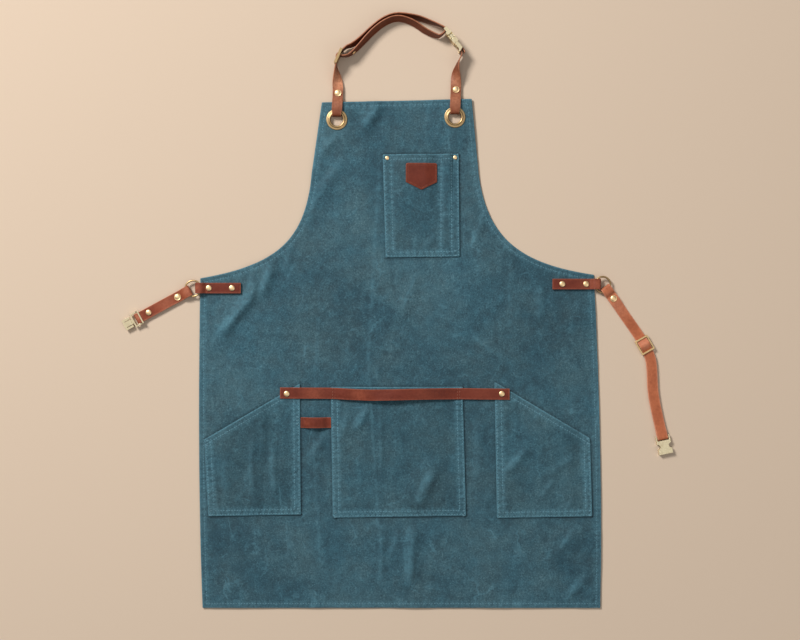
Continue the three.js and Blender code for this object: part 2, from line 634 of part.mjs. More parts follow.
function buildFemale() {
  const { armBack, body, mouth, half, low, top, notch, notchAt, cavity, arm } = FEMALE;
  const { inner, outer } = RAIL;
  const shape = new THREE.Shape();
  shape.moveTo(body, -half);
  shape.lineTo(notchAt - notch, -half);
  shape.absarc(notchAt, -half, notch, Math.PI, 0, true);
  shape.lineTo(mouth, -half);
  shape.lineTo(mouth, half);
  shape.lineTo(notchAt + notch, half);
  shape.absarc(notchAt, half, notch, 0, Math.PI, true);
  shape.lineTo(body, half);
  const hollow = block(cavity.from, mouth + 1, -cavity.half, cavity.half, cavity.low, cavity.top);
  return prism(shape, low, top, 6)
    .subtract(hollow)
    .add(block(armBack, body + 1, inner, outer, ...arm))
    .add(block(armBack, body + 1, -outer, -inner, ...arm))
    .add(crossBar(outer - 0.4));
}

// A rivet or snap: flat back, post and domed cap, from the back's underside to the cap's.
function buildRivet(cap, low, high) {
  const { post, back, backThick, sides } = RIVET;
  const reach = Math.min(back, cap - 0.3);
  const dome = cap * 0.42;
  return turned([
    [0, low], [reach, low], [reach, low + backThick], [post, low + backThick], [post, high],
    [cap, high], [cap * 0.7, high + dome * 0.8], [0, high + dome],
  ], sides);
}

// Assembly

const FINISHES = {
  canvas: { color: '#3e5d69', roughness: 0.85, metalness: 0 },
  darkLeather: { color: '#72392b', roughness: 0.55, metalness: 0 },
  strapLeather: { color: '#a8694e', roughness: 0.5, metalness: 0 },
  antiqueBrass: { color: '#a58a52', roughness: 0.35, metalness: 1 },
  paleGold: { color: '#d9c79a', roughness: 0.25, metalness: 1 },
};

const pieces = new Map();
function add(name, finish, solid, frame = {}) {
  pieces.set(name, { finish, solid, frame });
}

add('body_panel', 'canvas', buildBody());
Object.entries(POCKETS).forEach(([name, pocket]) => add(name, 'canvas', buildPocket(pocket)));
add('towel_strip', 'darkLeather', buildTowelStrip());
add('tool_loop', 'darkLeather', buildToolLoop());
add('badge', 'darkLeather', buildBadge());
['left', 'right'].forEach((side) => {
  const ring = RINGS[side];
  const [x, y] = GROMMETS[side];
  add(`side_tab_${side}`, 'darkLeather', buildTab(TABS[side], ring));
  add(`ring_${side}`, 'antiqueBrass', buildRing(ring), { x: ring.x, y: ring.y, z: RING.height });
  add(`grommet_${side}`, 'antiqueBrass', buildGrommet(), { x, y, z: 0 });
});
add('waist_strap_left', 'strapLeather', buildWaistStrapLeft());
add('waist_strap_right', 'strapLeather', buildWaistStrapRight());
add('neck_strap_long', 'strapLeather', buildNeckStrapLong());
add('neck_strap_short', 'strapLeather', buildNeckStrapShort());

// Where a fitting's bar lies on a plan curve, flat on the floor.
function frameOn(plan, s) {
  const at = s / plan.getLength();
  const { x, y } = plan.getPointAt(at);
  const tangent = plan.getTangentAt(at);
  const heading = THREE.MathUtils.radToDeg(Math.atan2(tangent.y, tangent.x));
  return { x, y, z: BAR.height, heading };
}
add('waist_slider', 'antiqueBrass', buildSlider(), frameOn(RIGHT_PLAN, SLIDER_AT));
add('neck_slider', 'antiqueBrass', buildSlider(), NECK_SLIDER);
const leftBar = frameOn(LEFT_PLAN, LEFT_PLAN.getLength());
add('waist_buckle_male', 'paleGold', buildMale(), leftBar);
add('waist_buckle_female', 'paleGold', buildFemale(), frameOn(RIGHT_PLAN, RIGHT_PLAN.getLength()));
add('neck_buckle_male', 'paleGold', buildMale(), NECK_MALE);
add('neck_buckle_female', 'paleGold', buildFemale(), NECK_FEMALE);

function pierce(names, bit) {
  names.forEach((name) => {
    const piece = pieces.get(name);
    piece.solid = piece.solid.subtract(bit);
  });
}

function placed({ x, y, z, heading, roll }) {
  const turn = new THREE.Euler(radians(roll ?? 0), 0, radians(heading ?? 0), 'ZYX');
  return new THREE.Matrix4().makeRotationFromEuler(turn).setPosition(x ?? 0, y ?? 0, z ?? 0);
}

const THROUGH = [-1, 40]; // heights between which a hole is cut
Object.values(GROMMETS).forEach(([x, y]) => {
  pierce(['body_panel'], drill(x, y, GROMMET.barrel + GAP, ...THROUGH, GROMMET.sides));
});

// Rivets and snaps: place, cap radius, heights of back and cap, and the pieces they go through.
const underBody = BODY.hemDrop - GAP - RIVET.backThick;
const overStrap = STRAP_LAYERS.upper + LEATHER / 2 + GAP;
const overTab = TAB_LAYERS.upper + LEATHER / 2 + GAP;
const overStrip = STRIP_REST + LEATHER / 2 + GAP;
const tabSpot = ({ x, y, heading }, s) => [x + s * Math.cos(radians(heading)), y];
const planSpot = (plan, s) => plan.getPointAt(s / plan.getLength()).toArray().slice(0, 2);
table(['name', 'spot', 'cap', 'low', 'high', 'through'], [
  ['chest_rivet_left', [-22, 772.5], 3.4, underBody, POCKET_TOP + GAP, ['body_panel', 'chest_pocket']],
  ['chest_rivet_right', [94.5, 773.5], 3.4, underBody, POCKET_TOP + GAP, ['body_panel', 'chest_pocket']],
  ['strip_rivet_left', [-194.4, 368], 5, underBody, overStrip,
    ['body_panel', 'hip_pocket_left', 'towel_strip']],
  ['strip_rivet_right', [174.6, 368], 5, underBody, overStrip,
    ['body_panel', 'hip_pocket_right', 'towel_strip']],
  ...['left', 'right'].flatMap((side) => ['outer', 'inner'].map((which, i) => [
    `tab_rivet_${side}_${which}`, tabSpot(TABS[side], TABS[side].rivets[i]), 5, underBody, overTab,
    ['body_panel', `side_tab_${side}`],
  ])),
  ['snap_neck_left', [NECK_LEFT.snapX, NECK_LEFT.snap], 6, 0, overStrap, ['neck_strap_long']],
  ['snap_neck_right', [NECK_RIGHT.snapX, NECK_RIGHT.snap], 6, 0, overStrap, ['neck_strap_short']],
  ['snap_waist_left', planSpot(LEFT_PLAN, SNAP_AT), 6, 0, overStrap, ['waist_strap_left']],
  ['snap_waist_right', planSpot(RIGHT_PLAN, SNAP_AT), 6, 0, overStrap, ['waist_strap_right']],
  ['buckle_rivet', planSpot(LEFT_PLAN, LEFT_RIVET_AT), 5, 0, overStrap, ['waist_strap_left']],
]).forEach(({ name, spot: [x, y], cap, low, high, through }) => {
  add(name, 'antiqueBrass', buildRivet(cap, low, high), { x, y, z: 0 });
  pierce(through, drill(x, y, RIVET.post + GAP, ...THROUGH));
});

// The neck strap's end stands on its edge, so its rivet lies level.
add('slider_rivet', 'antiqueBrass', buildRivet(3.4, -2.4, 1.6), END_RIVET);
const endHole = toGeometry(drill(0, 0, RIVET.post + GAP, -4, 4)).applyMatrix4(placed(END_RIVET));
pierce(['neck_strap_long'], toSolid(endHole));

const apron = new THREE.Group();
pieces.forEach(({ finish, solid, frame }, name) => {
  const mesh = new THREE.Mesh(toGeometry(solid), new THREE.MeshStandardMaterial(FINISHES[finish]));
  mesh.name = name;
  mesh.applyMatrix4(placed(frame));
  apron.add(mesh);
});

// The origin on the floor, under the middle of the box.
apron.updateMatrixWorld(true);
const box = new THREE.Box3().setFromObject(apron, true);
const middle = box.getCenter(new THREE.Vector3());
apron.position.set(-middle.x, -middle.y, -box.min.z);

export default apron;
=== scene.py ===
import math
import bmesh
import bpy
import numpy as np
from mathutils import Matrix, Vector, noise
from mathutils.bvhtree import BVHTree
from mathutils.geometry import delaunay_2d_cdt


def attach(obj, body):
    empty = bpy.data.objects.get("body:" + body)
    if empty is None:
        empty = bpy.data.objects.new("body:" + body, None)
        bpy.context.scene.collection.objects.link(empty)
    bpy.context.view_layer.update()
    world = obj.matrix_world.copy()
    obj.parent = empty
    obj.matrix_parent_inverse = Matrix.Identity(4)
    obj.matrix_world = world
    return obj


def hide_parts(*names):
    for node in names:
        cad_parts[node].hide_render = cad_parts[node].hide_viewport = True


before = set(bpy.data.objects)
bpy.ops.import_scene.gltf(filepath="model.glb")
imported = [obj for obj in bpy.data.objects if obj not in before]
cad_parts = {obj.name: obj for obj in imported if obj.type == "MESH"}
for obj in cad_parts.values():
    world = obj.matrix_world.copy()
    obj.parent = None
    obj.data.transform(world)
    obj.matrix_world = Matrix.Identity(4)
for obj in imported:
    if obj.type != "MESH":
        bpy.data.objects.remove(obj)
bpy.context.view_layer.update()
scene = bpy.context.scene
print("stage: frame loaded")

# Plan sizes are millimetres from the middle of the bottom hem; the shift brings them to the frame
shift = np.array([4.64, -510.28, 0.0])
millimetre = 0.001


def toFrame(points):
    return (np.asarray(points, dtype=float) + shift) * millimetre


# Nodes, for materials and for geometry
def put(tree, kind, inputs=None, **settings):
    node = tree.nodes.new(kind)
    for key, value in settings.items():
        setattr(node, key, value)
    for key, value in (inputs or {}).items():
        if isinstance(value, bpy.types.NodeSocket):
            tree.links.new(value, node.inputs[key])
        else:
            node.inputs[key].default_value = value
    return node


def blend(tree, factor, low, high, how="MIX"):
    inputs = {0: factor, 6: low, 7: high}
    node = put(tree, "ShaderNodeMix", inputs, data_type="RGBA", blend_type=how, clamp_result=True)
    return node.outputs[2]


def dyed(tree, colour, tint):
    return blend(tree, 1.0, colour, (*tint, 1.0), "MULTIPLY")


def sums(tree, how, first, second):
    return put(tree, "ShaderNodeMath", {0: first, 1: second}, operation=how).outputs[0]


def times(tree, first, second):
    return sums(tree, "MULTIPLY", first, second)


def plus(tree, first, second):
    return sums(tree, "ADD", first, second)


def spread(tree, value, low, high, outLow=0.0, outHigh=1.0):
    inputs = {"Value": value, "From Min": low, "From Max": high, "To Min": outLow, "To Max": outHigh}
    return put(tree, "ShaderNodeMapRange", inputs, interpolation_type="SMOOTHSTEP").outputs[0]


def cloud(tree, place, scale, detail=3.0, rough=0.55, shiftW=0.0):
    inputs = {"Vector": place, "W": shiftW, "Scale": scale, "Detail": detail, "Roughness": rough}
    return put(tree, "ShaderNodeTexNoise", inputs, noise_dimensions="4D").outputs[0]


def stretched(tree, place, scale, turn=0.0):
    inputs = {"Vector": place, "Rotation": (0, 0, turn), "Scale": scale}
    return put(tree, "ShaderNodeMapping", inputs).outputs[0]


def cellEdges(tree, place, scale):
    cells = put(tree, "ShaderNodeTexVoronoi", {"Vector": place, "Scale": scale}, feature="DISTANCE_TO_EDGE")
    return cells.outputs["Distance"]


def startTree(name, kind, takes, gives):
    tree = bpy.data.node_groups.new(name, kind)
    for way, sockets in (("INPUT", takes), ("OUTPUT", gives)):
        for label, socket in sockets.items():
            tree.interface.new_socket(name=label, in_out=way, socket_type="NodeSocket" + socket)
    return tree, tree.nodes.new("NodeGroupInput").outputs, tree.nodes.new("NodeGroupOutput").inputs


def startEffect(name, takes):
    gives = {"Colour": "Color", "Roughness": "Float", "Height": "Float"}
    tree, taken, sink = startTree(name, "ShaderNodeTree", takes, gives)
    return tree, taken, sink, put(tree, "ShaderNodeTexCoord").outputs["Object"]


def endEffect(tree, sink, colour, rough, height):
    for label, socket in {"Colour": colour, "Roughness": rough, "Height": height}.items():
        tree.links.new(socket, sink[label])
    return tree


# Waxed canvas: cloudy dye, heathered threads, pale rubs along seams, edges and creases, painted highlights on
# lit fold flanks, and painted shade beside the pockets' edges
canvasLook = {
    "clouds": {
        "wide": (5.5, 4.0, 0.6), "hue": (11.0, 4.0, 0.6), "patch": (62.0, 5.0, 0.72),
        "speck": (330.0, 2.0, 0.8), "fleck": (640.0, 1.0, 0.6),
    },
    "weave": 330.0, "slubs": [(90.0, 420.0, 100.0), (420.0, 90.0, 100.0)], "wisps": (42, 9, 20), "lean": 0.3,
    "teal": (0.84, 1.02, 1.07), "slate": (1.04, 0.99, 0.96),
    "dark": (0.56, 0.58, 0.60), "light": (1.42, 1.38, 1.36), "wispTint": (1.5, 1.45, 1.42),
    "paleThread": (2.5, 2.0, 1.85), "deepThread": (0.30, 0.40, 0.44),
    # The pale colour of rubbed wax, which also paints the highlights on lit fold flanks, and the near-black
    # teal of painted shade beside the pockets
    "paleWearAndHighlight": (0.092, 0.232, 0.292, 1.0), "dirt": (0.008, 0.020, 0.028, 1.0),
    "scuffs": [13.0, 34.0], "wobble": 24.0, "stray": (0.06, 0.06, 0.06),
    "rubShare": 0.72, "creaseAndHighlightShare": 0.55, "scuffShare": 0.34, "paintedShadeShare": 0.8,
}


def canvasGroup(look):
    takes = {"Rub": "Float", "Crease": "Float", "Grime": "Float", "Bolt": "Float", "Tint": "Color"}
    tree, taken, sink, place = startEffect("waxedCanvas", takes)
    bolt = taken["Bolt"]
    clouds = (cloud(tree, place, *sizes, bolt) for sizes in look["clouds"].values())
    wide, hue, patch, speck, fleck = clouds
    across, along = (cloud(tree, stretched(tree, place, scale), 1.0, 2.0) for scale in look["slubs"])
    slubs = sums(tree, "MAXIMUM", across, along)
    # Teal where the wax lies thick, slate grey where it is thin
    teal, slate = dyed(tree, taken["Tint"], look["teal"]), dyed(tree, taken["Tint"], look["slate"])
    colour = blend(tree, spread(tree, hue, 0.34, 0.66), teal, slate)
    tone = plus(tree, times(tree, wide, 0.6), times(tree, patch, 0.7))
    dark, light = dyed(tree, colour, look["dark"]), dyed(tree, colour, look["light"])
    colour = blend(tree, spread(tree, tone, 0.42, 0.88), dark, light)
    wisps = cloud(tree, stretched(tree, place, look["wisps"], look["lean"]), 1.0, 4.0, 0.65, bolt)
    light = dyed(tree, colour, look["wispTint"])
    colour = blend(tree, spread(tree, wisps, 0.54, 0.76, 0.0, 0.75), colour, light)
    # Heathered threads, pale and dark
    pale, deep = dyed(tree, colour, look["paleThread"]), dyed(tree, colour, look["deepThread"])
    for mark, limits, thread in [
        (slubs, (0.58, 0.80, 0.0, 0.40), pale), (speck, (0.52, 0.72, 0.0, 0.72), pale),
        (speck, (0.28, 0.48, 0.75, 0.0), deep), (fleck, (0.56, 0.72, 0.0, 0.55), pale),
    ]:
        colour = blend(tree, spread(tree, mark, *limits), colour, thread)
    # Fine scuffs, as thin bent lines that come and go
    wobble = put(tree, "ShaderNodeTexNoise", {"Vector": place, "Scale": look["wobble"], "Detail": 3.0})
    inputs = {0: wobble.outputs["Color"], 1: look["stray"], 2: place}
    bent = put(tree, "ShaderNodeVectorMath", inputs, operation="MULTIPLY_ADD").outputs[0]
    large, small = (cellEdges(tree, bent, scale) for scale in look["scuffs"])
    scuff = times(tree, spread(tree, large, 0.0, 0.03, 1.0, 0.0), spread(tree, wisps, 0.46, 0.64))
    finer = times(tree, spread(tree, small, 0.0, 0.05, 0.7, 0.0), spread(tree, patch, 0.52, 0.68))
    scuff = sums(tree, "MAXIMUM", scuff, finer)
    # Pale wear from rubs and creases; the crease marks also carry the painted highlights of lit fold flanks
    wearAndHighlight = times(tree, taken["Rub"], spread(tree, speck, 0.30, 0.64, 0.35, 1.0))
    lines = times(tree, taken["Crease"], spread(tree, patch, 0.34, 0.60, 0.3, 1.0))
    for mark, share in ((wearAndHighlight, "rubShare"), (lines, "creaseAndHighlightShare"), (scuff, "scuffShare")):
        colour = blend(tree, times(tree, mark, look[share]), colour, look["paleWearAndHighlight"])
    # Painted shade: a dark line on the body beside the pockets' edges, where they stand off it
    colour = blend(tree, times(tree, taken["Grime"], look["paintedShadeShare"]), colour, look["dirt"])
    rough = spread(tree, patch, 0.3, 0.7, 0.60, 0.78)
    thread = {"Vector": place, "Scale": look["weave"], "Distortion": 1.2}
    warp, weft = (put(tree, "ShaderNodeTexWave", thread, bands_direction=way).outputs[1] for way in "XY")
    height = plus(tree, times(tree, times(tree, warp, weft), 0.4), times(tree, speck, 1.0))
    return endEffect(tree, sink, colour, rough, plus(tree, height, times(tree, patch, 2.4)))


# Smooth leather: pores, cloudy dye, paler cut edges, and painted highlights in the same pale colour
leatherLook = {"wide": 28.0, "fine": 240.0, "pores": 1300.0, "deep": (0.62, 0.55, 0.52)}


def leatherGroup(look):
    takes = {"Tint": "Color", "Raw": "Color", "Edge": "Float", "Bolt": "Float"}
    tree, taken, sink, place = startEffect("smoothLeather", takes)
    wide = cloud(tree, place, look["wide"], 4.0, 0.6, taken["Bolt"])
    fine = cloud(tree, place, look["fine"], 4.0, 0.65, taken["Bolt"])
    pores = cellEdges(tree, place, look["pores"])
    deep = dyed(tree, taken["Tint"], look["deep"])
    tone = plus(tree, times(tree, wide, 0.7), times(tree, fine, 0.4))
    colour = blend(tree, spread(tree, tone, 0.34, 0.68), deep, taken["Tint"])
    # Pale cut edges, and painted highlights where a strap's pale spots mark it
    pale = times(tree, taken["Edge"], spread(tree, fine, 0.3, 0.65, 0.55, 0.95))
    colour = blend(tree, pale, colour, taken["Raw"])
    colour = blend(tree, spread(tree, pores, 0.0, 0.05, 0.35, 0.0), colour, deep)
    rough = spread(tree, fine, 0.3, 0.7, 0.36, 0.52)
    height = plus(tree, times(tree, spread(tree, pores, 0.0, 0.12), 0.4), times(tree, fine, 0.8))
    return endEffect(tree, sink, colour, rough, height)


# Plated metal: faint tarnish, fine handling marks
platedLook = {"stain": 110.0, "mark": 1100.0, "deep": (0.55, 0.47, 0.40)}


def platedGroup(look):
    takes = {"Tint": "Color", "Tarnish": "Float", "Dull": "Float"}
    tree, taken, sink, place = startEffect("platedMetal", takes)
    stain = cloud(tree, place, look["stain"], 5.0, 0.65)
    mark = cloud(tree, place, look["mark"], 3.0, 0.6)
    cover = times(tree, spread(tree, stain, 0.46, 0.74), taken["Tarnish"])
    colour = blend(tree, cover, taken["Tint"], dyed(tree, taken["Tint"], look["deep"]))
    rough = plus(tree, spread(tree, mark, 0.3, 0.7, 0.20, 0.28), times(tree, cover, 0.2))
    return endEffect(tree, sink, colour, plus(tree, rough, taken["Dull"]), mark)


def material(name, group, values, bump, shader, attributes=None):
    made = bpy.data.materials.new(name)
    made.use_nodes = True
    tree = made.node_tree
    surface = tree.nodes["Principled BSDF"]
    effect = put(tree, "ShaderNodeGroup", node_tree=group)
    for label, value in values.items():
        effect.inputs[label].default_value = value
    for label, source in (attributes or {}).items():
        read = put(tree, "ShaderNodeAttribute", attribute_name=source)
        tree.links.new(read.outputs["Fac"], effect.inputs[label])
    relief = put(tree, "ShaderNodeBump", {"Height": effect.outputs["Height"], "Distance": bump})
    tree.links.new(effect.outputs["Colour"], surface.inputs["Base Color"])
    tree.links.new(effect.outputs["Roughness"], surface.inputs["Roughness"])
    tree.links.new(relief.outputs["Normal"], surface.inputs["Normal"])
    for label, value in shader.items():
        surface.inputs[label].default_value = value
    return made


canvasEffect = canvasGroup(canvasLook)
leatherEffect = leatherGroup(leatherLook)
platedEffect = platedGroup(platedLook)
looks = {}

# Canvas: tint and bolt
clothWear = {"Rub": "rub", "Crease": "crease", "Grime": "grime"}
clothShader = {"Specular IOR Level": 0.22, "Sheen Weight": 0.10, "Sheen Roughness": 0.5}
clothBump = 0.00035
for name, tint, bolt in [
    ("bodyCanvas", (0.033, 0.083, 0.106, 1.0), 0.0), ("pocketCanvas", (0.029, 0.075, 0.096, 1.0), 3.7),
]:
    values = {"Bolt": bolt, "Tint": tint}
    looks[name] = material(name, canvasEffect, values, clothBump, clothShader, clothWear)

# Leather: tint, and the paler colour of cut edges, which also paints highlights on lit bends
leathers = {
    "darkLeather": ((0.158, 0.028, 0.013, 1.0), (0.36, 0.095, 0.048, 1.0)),
    "neckLeather": ((0.155, 0.030, 0.008, 1.0), (0.86, 0.37, 0.20, 1.0)),
    "redStrapLeather": ((0.245, 0.050, 0.020, 1.0), (0.60, 0.22, 0.12, 1.0)),
    "tanStrapLeather": ((0.480, 0.140, 0.058, 1.0), (0.70, 0.30, 0.18, 1.0)),
}
leatherShader = {"Specular IOR Level": 0.22}
leatherBump = 0.00007
for i, (name, (tint, paleEdgeAndHighlight)) in enumerate(leathers.items()):
    values = {"Tint": tint, "Raw": paleEdgeAndHighlight, "Bolt": 1.0 + 2 * i}
    looks[name] = material(name, leatherEffect, values, leatherBump, leatherShader, {"Edge": "edge"})

# Metal: tint, tarnish and dullness
metals = {
    "antiqueBrass": ((0.50, 0.34, 0.165, 1.0), 0.5, 0.14),
    "frameGold": ((0.80, 0.56, 0.27, 1.0), 0.3, 0.12),
    "paleGold": ((0.86, 0.73, 0.47, 1.0), 0.35, 0.06),
    # A near-black plating that paints shade in recesses
    "recessBrass": ((0.085, 0.055, 0.028, 1.0), 0.8, 0.3),
    "studGold": ((0.95, 0.68, 0.37, 1.0), 0.35, 0.18),
}
metalBump = 0.000003
for name, (tint, tarnish, dull) in metals.items():
    values = {"Tint": tint, "Tarnish": tarnish, "Dull": dull}
    looks[name] = material(name, platedEffect, values, metalBump, {"Metallic": 1.0})

# Thread: tint and shine
threads = {
    "blueThread": ((0.155, 0.315, 0.385, 1.0), 0.2),
    "hemThread": ((0.135, 0.280, 0.345, 1.0), 0.2),
    "darkThread": ((0.05, 0.014, 0.008, 1.0), 0.3),
    "brownThread": ((0.30, 0.12, 0.075, 1.0), 0.2),
}
threadBump = 0.00004
for name, (tint, shine) in threads.items():
    values = {"Tint": tint, "Bolt": 2.0, "Edge": 0.0}
    looks[name] = material(name, leatherEffect, values, threadBump, {"Specular IOR Level": shine})
print("stage: materials made")


# Meshes. Every piece rides the one body; it stands for the node of its own name, unless it is thread
def makePiece(name, points, faces, look, attributes=None):
    mesh = bpy.data.meshes.new(name)
    mesh.from_pydata(points.tolist(), [], faces)
    for key, values in (attributes or {}).items():
        mesh.attributes.new(key, "FLOAT", "POINT").data.foreach_set("value", np.asarray(values, np.float32))
    mesh.materials.append(looks[look])
    mesh.polygons.foreach_set("use_smooth", np.ones(len(mesh.polygons), bool))
    mesh.update()
    piece = bpy.data.objects.new(name, mesh)
    scene.collection.objects.link(piece)
    return piece


# A name already taken by its node gets a number behind a dot
def nodeOf(name):
    plain = name.split(".")[0]
    return "".join("_" + letter.lower() if letter.isupper() else letter for letter in plain)


def settle(piece, stands=True):
    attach(piece, "root")
    if stands:
        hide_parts(nodeOf(piece.name))


def faceOut(piece, sharpAngle, merge=None):
    tool = bmesh.new()
    tool.from_mesh(piece.data)
    if merge:
        bmesh.ops.remove_doubles(tool, verts=tool.verts, dist=merge)
    bmesh.ops.recalc_face_normals(tool, faces=tool.faces)
    tool.to_mesh(piece.data)
    tool.free()
    piece.data.set_sharp_from_angle(angle=math.radians(sharpAngle))
    return piece


def dense(path, spacing, closed=False):
    path = np.asarray(path, float)
    ends = np.roll(path, -1, axis=0) if closed else path[1:]
    made = []
    for start, end in zip(path, ends):
        count = max(1, math.ceil(np.linalg.norm(end - start) / spacing))
        made.append(start + (end - start) * np.linspace(0, 1, count, endpoint=False)[:, None])
    if not closed:
        made.append(path[-1:])
    return np.vstack(made)


def bezier(controls, count):
    t = np.linspace(0, 1, count, endpoint=False)[:, None]
    layers = [np.asarray(point, float) for point in controls]
    while len(layers) > 1:
        layers = [low + (high - low) * t for low, high in zip(layers, layers[1:])]
    return layers[0]


tiny, far = 1e-9, 1e9


def unit(vectors):
    return vectors / np.maximum(np.linalg.norm(vectors, axis=-1, keepdims=True), tiny)


def closedLoop(corners):
    return np.vstack([corners, corners[:1]])


def lengthOf(path):
    return np.linalg.norm(np.diff(path, axis=0), axis=1).sum()


def bell(distance, reach):
    return np.exp(-((distance / reach) ** 2))


def smooth(value, low, high):
    t = np.clip((value - low) / (high - low), 0, 1)
    return t * t * (3 - 2 * t)


# Each side of a counter-clockwise polygon moves inwards, all by one distance or each by its own
def inset(corners, distances):
    corners = np.asarray(corners, float)
    sides = unit(np.roll(corners, -1, axis=0) - corners)
    inward = np.stack([-sides[:, 1], sides[:, 0]], axis=1)
    reach = np.broadcast_to(np.asarray(distances, float), len(corners))
    before, beforeReach = np.roll(inward, 1, axis=0), np.roll(reach, 1)
    dot = np.sum(before * inward, axis=1)
    room = np.maximum(1 - dot * dot, 1e-6)
    straight = dot > 0.9999
    one = np.where(straight, beforeReach, (beforeReach - dot * reach) / room)
    two = np.where(straight, 0, (reach - dot * beforeReach) / room)
    return corners + before * one[:, None] + inward * two[:, None]


def nearest(points, path):
    best, along, run = np.full(len(points), far), np.zeros(len(points)), 0.0
    for start, end in zip(path[:-1], path[1:]):
        step = end - start
        length = max(np.linalg.norm(step), tiny)
        t = np.clip((points - start) @ step / length**2, 0, 1)
        gap = np.linalg.norm(points - start - t[:, None] * step, axis=1)
        closer = gap < best
        best[closer], along[closer] = gap[closer], run + t[closer] * length
        run += length
    return best, along


def inside(points, loop):
    odd = np.zeros(len(points), bool)
    for start, end in zip(loop, np.roll(loop, -1, axis=0)):
        spans = (start[1] > points[:, 1]) != (end[1] > points[:, 1])
        rise = (end[1] - start[1]) or tiny
        odd ^= spans & (points[:, 0] < start[0] + (end[0] - start[0]) * (points[:, 1] - start[1]) / rise)
    return odd


def within(points, outline, away):
    points = points[inside(points, outline)]
    return points[nearest(points, closedLoop(outline))[0] > away]


def gridOf(xs, ys):
    return np.stack(np.meshgrid(xs, ys), axis=-1).reshape(-1, 2)


# Distance from a line, and how far the line has come up from its ends
def tapered(spots, path, lead, taper):
    gap, along = nearest(spots, path)
    length = lengthOf(path)
    return gap, smooth(np.minimum(along, length - along), lead, taper * length)


# A flat mesh between loops, the first the outer one, through the spots given
def filled(loops, spots):
    edges, first = [], 0
    for loop in loops:
        edges += [(first + i, first + (i + 1) % len(loop)) for i in range(len(loop))]
        first += len(loop)
    made = delaunay_2d_cdt([Vector(p) for p in np.vstack([*loops, spots])], edges, [], 1, 1e-5)
    return np.array([tuple(v) for v in made[0]]), [tuple(f) for f in made[2]], edges


def outside(x, y, box):
    x0, x1, y0, y1 = box
    return np.maximum.reduce([x0 - x, x - x1, y0 - y, y - y1])


# Ridges from one point to another, as in the solids: x0, y0, x1, y1, reach, rise
def ridges(folds, x, y):
    spots = np.stack([x, y], axis=1)
    height = np.zeros(len(x))
    for x0, y0, x1, y1, reach, rise in folds:
        away = nearest(spots, np.array([[x0, y0], [x1, y1]], float))[0] / reach
        height = np.maximum(height, rise * np.maximum(0, 1 - away**2) ** 1.5)
    return height


# Sharp folds along bent lines, each a path, a half width and a height, with a painted highlight on the lit
# flank
foldLook = {
    "points": 16, "spacing": 4.0, "lead": -3, "taper": 0.3,
    "flank": (0.3, -0.22), "flankReach": 0.5, "pale": 0.2,
}


def folded(folds, x, y):
    spots = np.stack([x, y], axis=1)
    height, wearAndHighlight = np.zeros(len(x)), np.zeros(len(x))
    for path, reach, rise in folds:
        path = dense(bezier(path, foldLook["points"]), foldLook["spacing"])
        gap, ends = tapered(spots, path, foldLook["lead"], foldLook["taper"])
        height = np.maximum(height, rise * ends * (1 - smooth(gap, 0, reach)))
        # Painted highlight: a pale band on the flank that faces the key light
        flank = nearest(spots + np.multiply(foldLook["flank"], reach), path)[0]
        pale = foldLook["pale"] * rise * ends
        wearAndHighlight = np.maximum(wearAndHighlight, pale * bell(flank, foldLook["flankReach"] * reach))
    return height, wearAndHighlight


# Soft lumps of cloth that has been folded and laid out again, large and small
lumpSizes = [(44, 58, 0, 1.0), (19, 26, 7, 0.6)]


def rumple(x, y, bolt):
    return np.array([
        sum(share * noise.noise((a / wide, b / tall, bolt + other)) for wide, tall, other, share in lumpSizes)
        for a, b in zip(x, y)
    ])


# Creases pressed into all layers: x0, y0, x1, y1, width, lift, paleness
creases = [
    (-31, 839, -29, 18, 2.2, 0.25, 0.55), (-134, 600, -133, 20, 2.4, 0.22, 0.40),
    (191, 603, 190, 478, 2.2, 0.25, 0.45), (29, 575, 4, 512, 2.6, 0.5, 0.75),
    (-44, 872, -60, 828, 3.0, 0.4, 0.5), (-103, 812, -143, 800, 3.0, 0.4, 0.6),
    (-143, 800, -147, 750, 3.0, 0.3, 0.5), (-122, 728, -156, 684, 3.0, 0.4, 0.5),
    (18, 142, 9, 108, 2.6, 0.5, 0.7), (9, 108, 11, 56, 2.8, 0.5, 0.7),
    (54, 240, 28, 192, 3.0, 0.4, 0.6), (-62, 340, -82, 312, 2.6, 0.4, 0.5),
    (214, 270, 172, 228, 3.0, 0.4, 0.6), (296, 138, 268, 92, 2.6, 0.4, 0.5),
    (-255, 575, -262, 545, 3.0, 0.3, 0.8), (-262, 545, -292, 506, 3.0, 0.4, 0.9),
    (-292, 506, -325, 450, 3.0, 0.4, 0.7), (-222, 594, -238, 548, 2.6, 0.4, 0.7),
    (-181, 594, -195, 562, 2.4, 0.4, 0.6), (150, 690, 120, 612, 2.4, 0.3, 0.4),
    (-60, 460, -10, 440, 2.4, 0.3, 0.35), (120, 470, 175, 430, 2.4, 0.3, 0.4),
    (-300, 420, -262, 372, 2.4, 0.3, 0.4), (40, 96, 96, 60, 2.2, 0.3, 0.4),
    (-170, 110, -120, 70, 2.2, 0.3, 0.35), (200, 110, 238, 52, 2.2, 0.3, 0.4),
    (-74, 408, -40, 394, 2.0, 0.4, 0.5),
]
creaseBow, creaseLead, creaseTaper = 0.03, -2, 0.18


def creaseMarks(x, y):
    spots = np.stack([x, y], axis=1)
    lift, mark = np.zeros(len(x)), np.zeros(len(x))
    for x0, y0, x1, y1, width, rise, pale in creases:
        middle = [(x0 + x1) / 2 + (y1 - y0) * creaseBow, (y0 + y1) / 2 - (x1 - x0) * creaseBow]
        gap, ends = tapered(spots, np.array([[x0, y0], middle, [x1, y1]]), creaseLead, creaseTaper)
        line = bell(gap, width) * ends
        lift, mark = np.maximum(lift, rise * line), np.maximum(mark, pale * line)
    return lift, mark


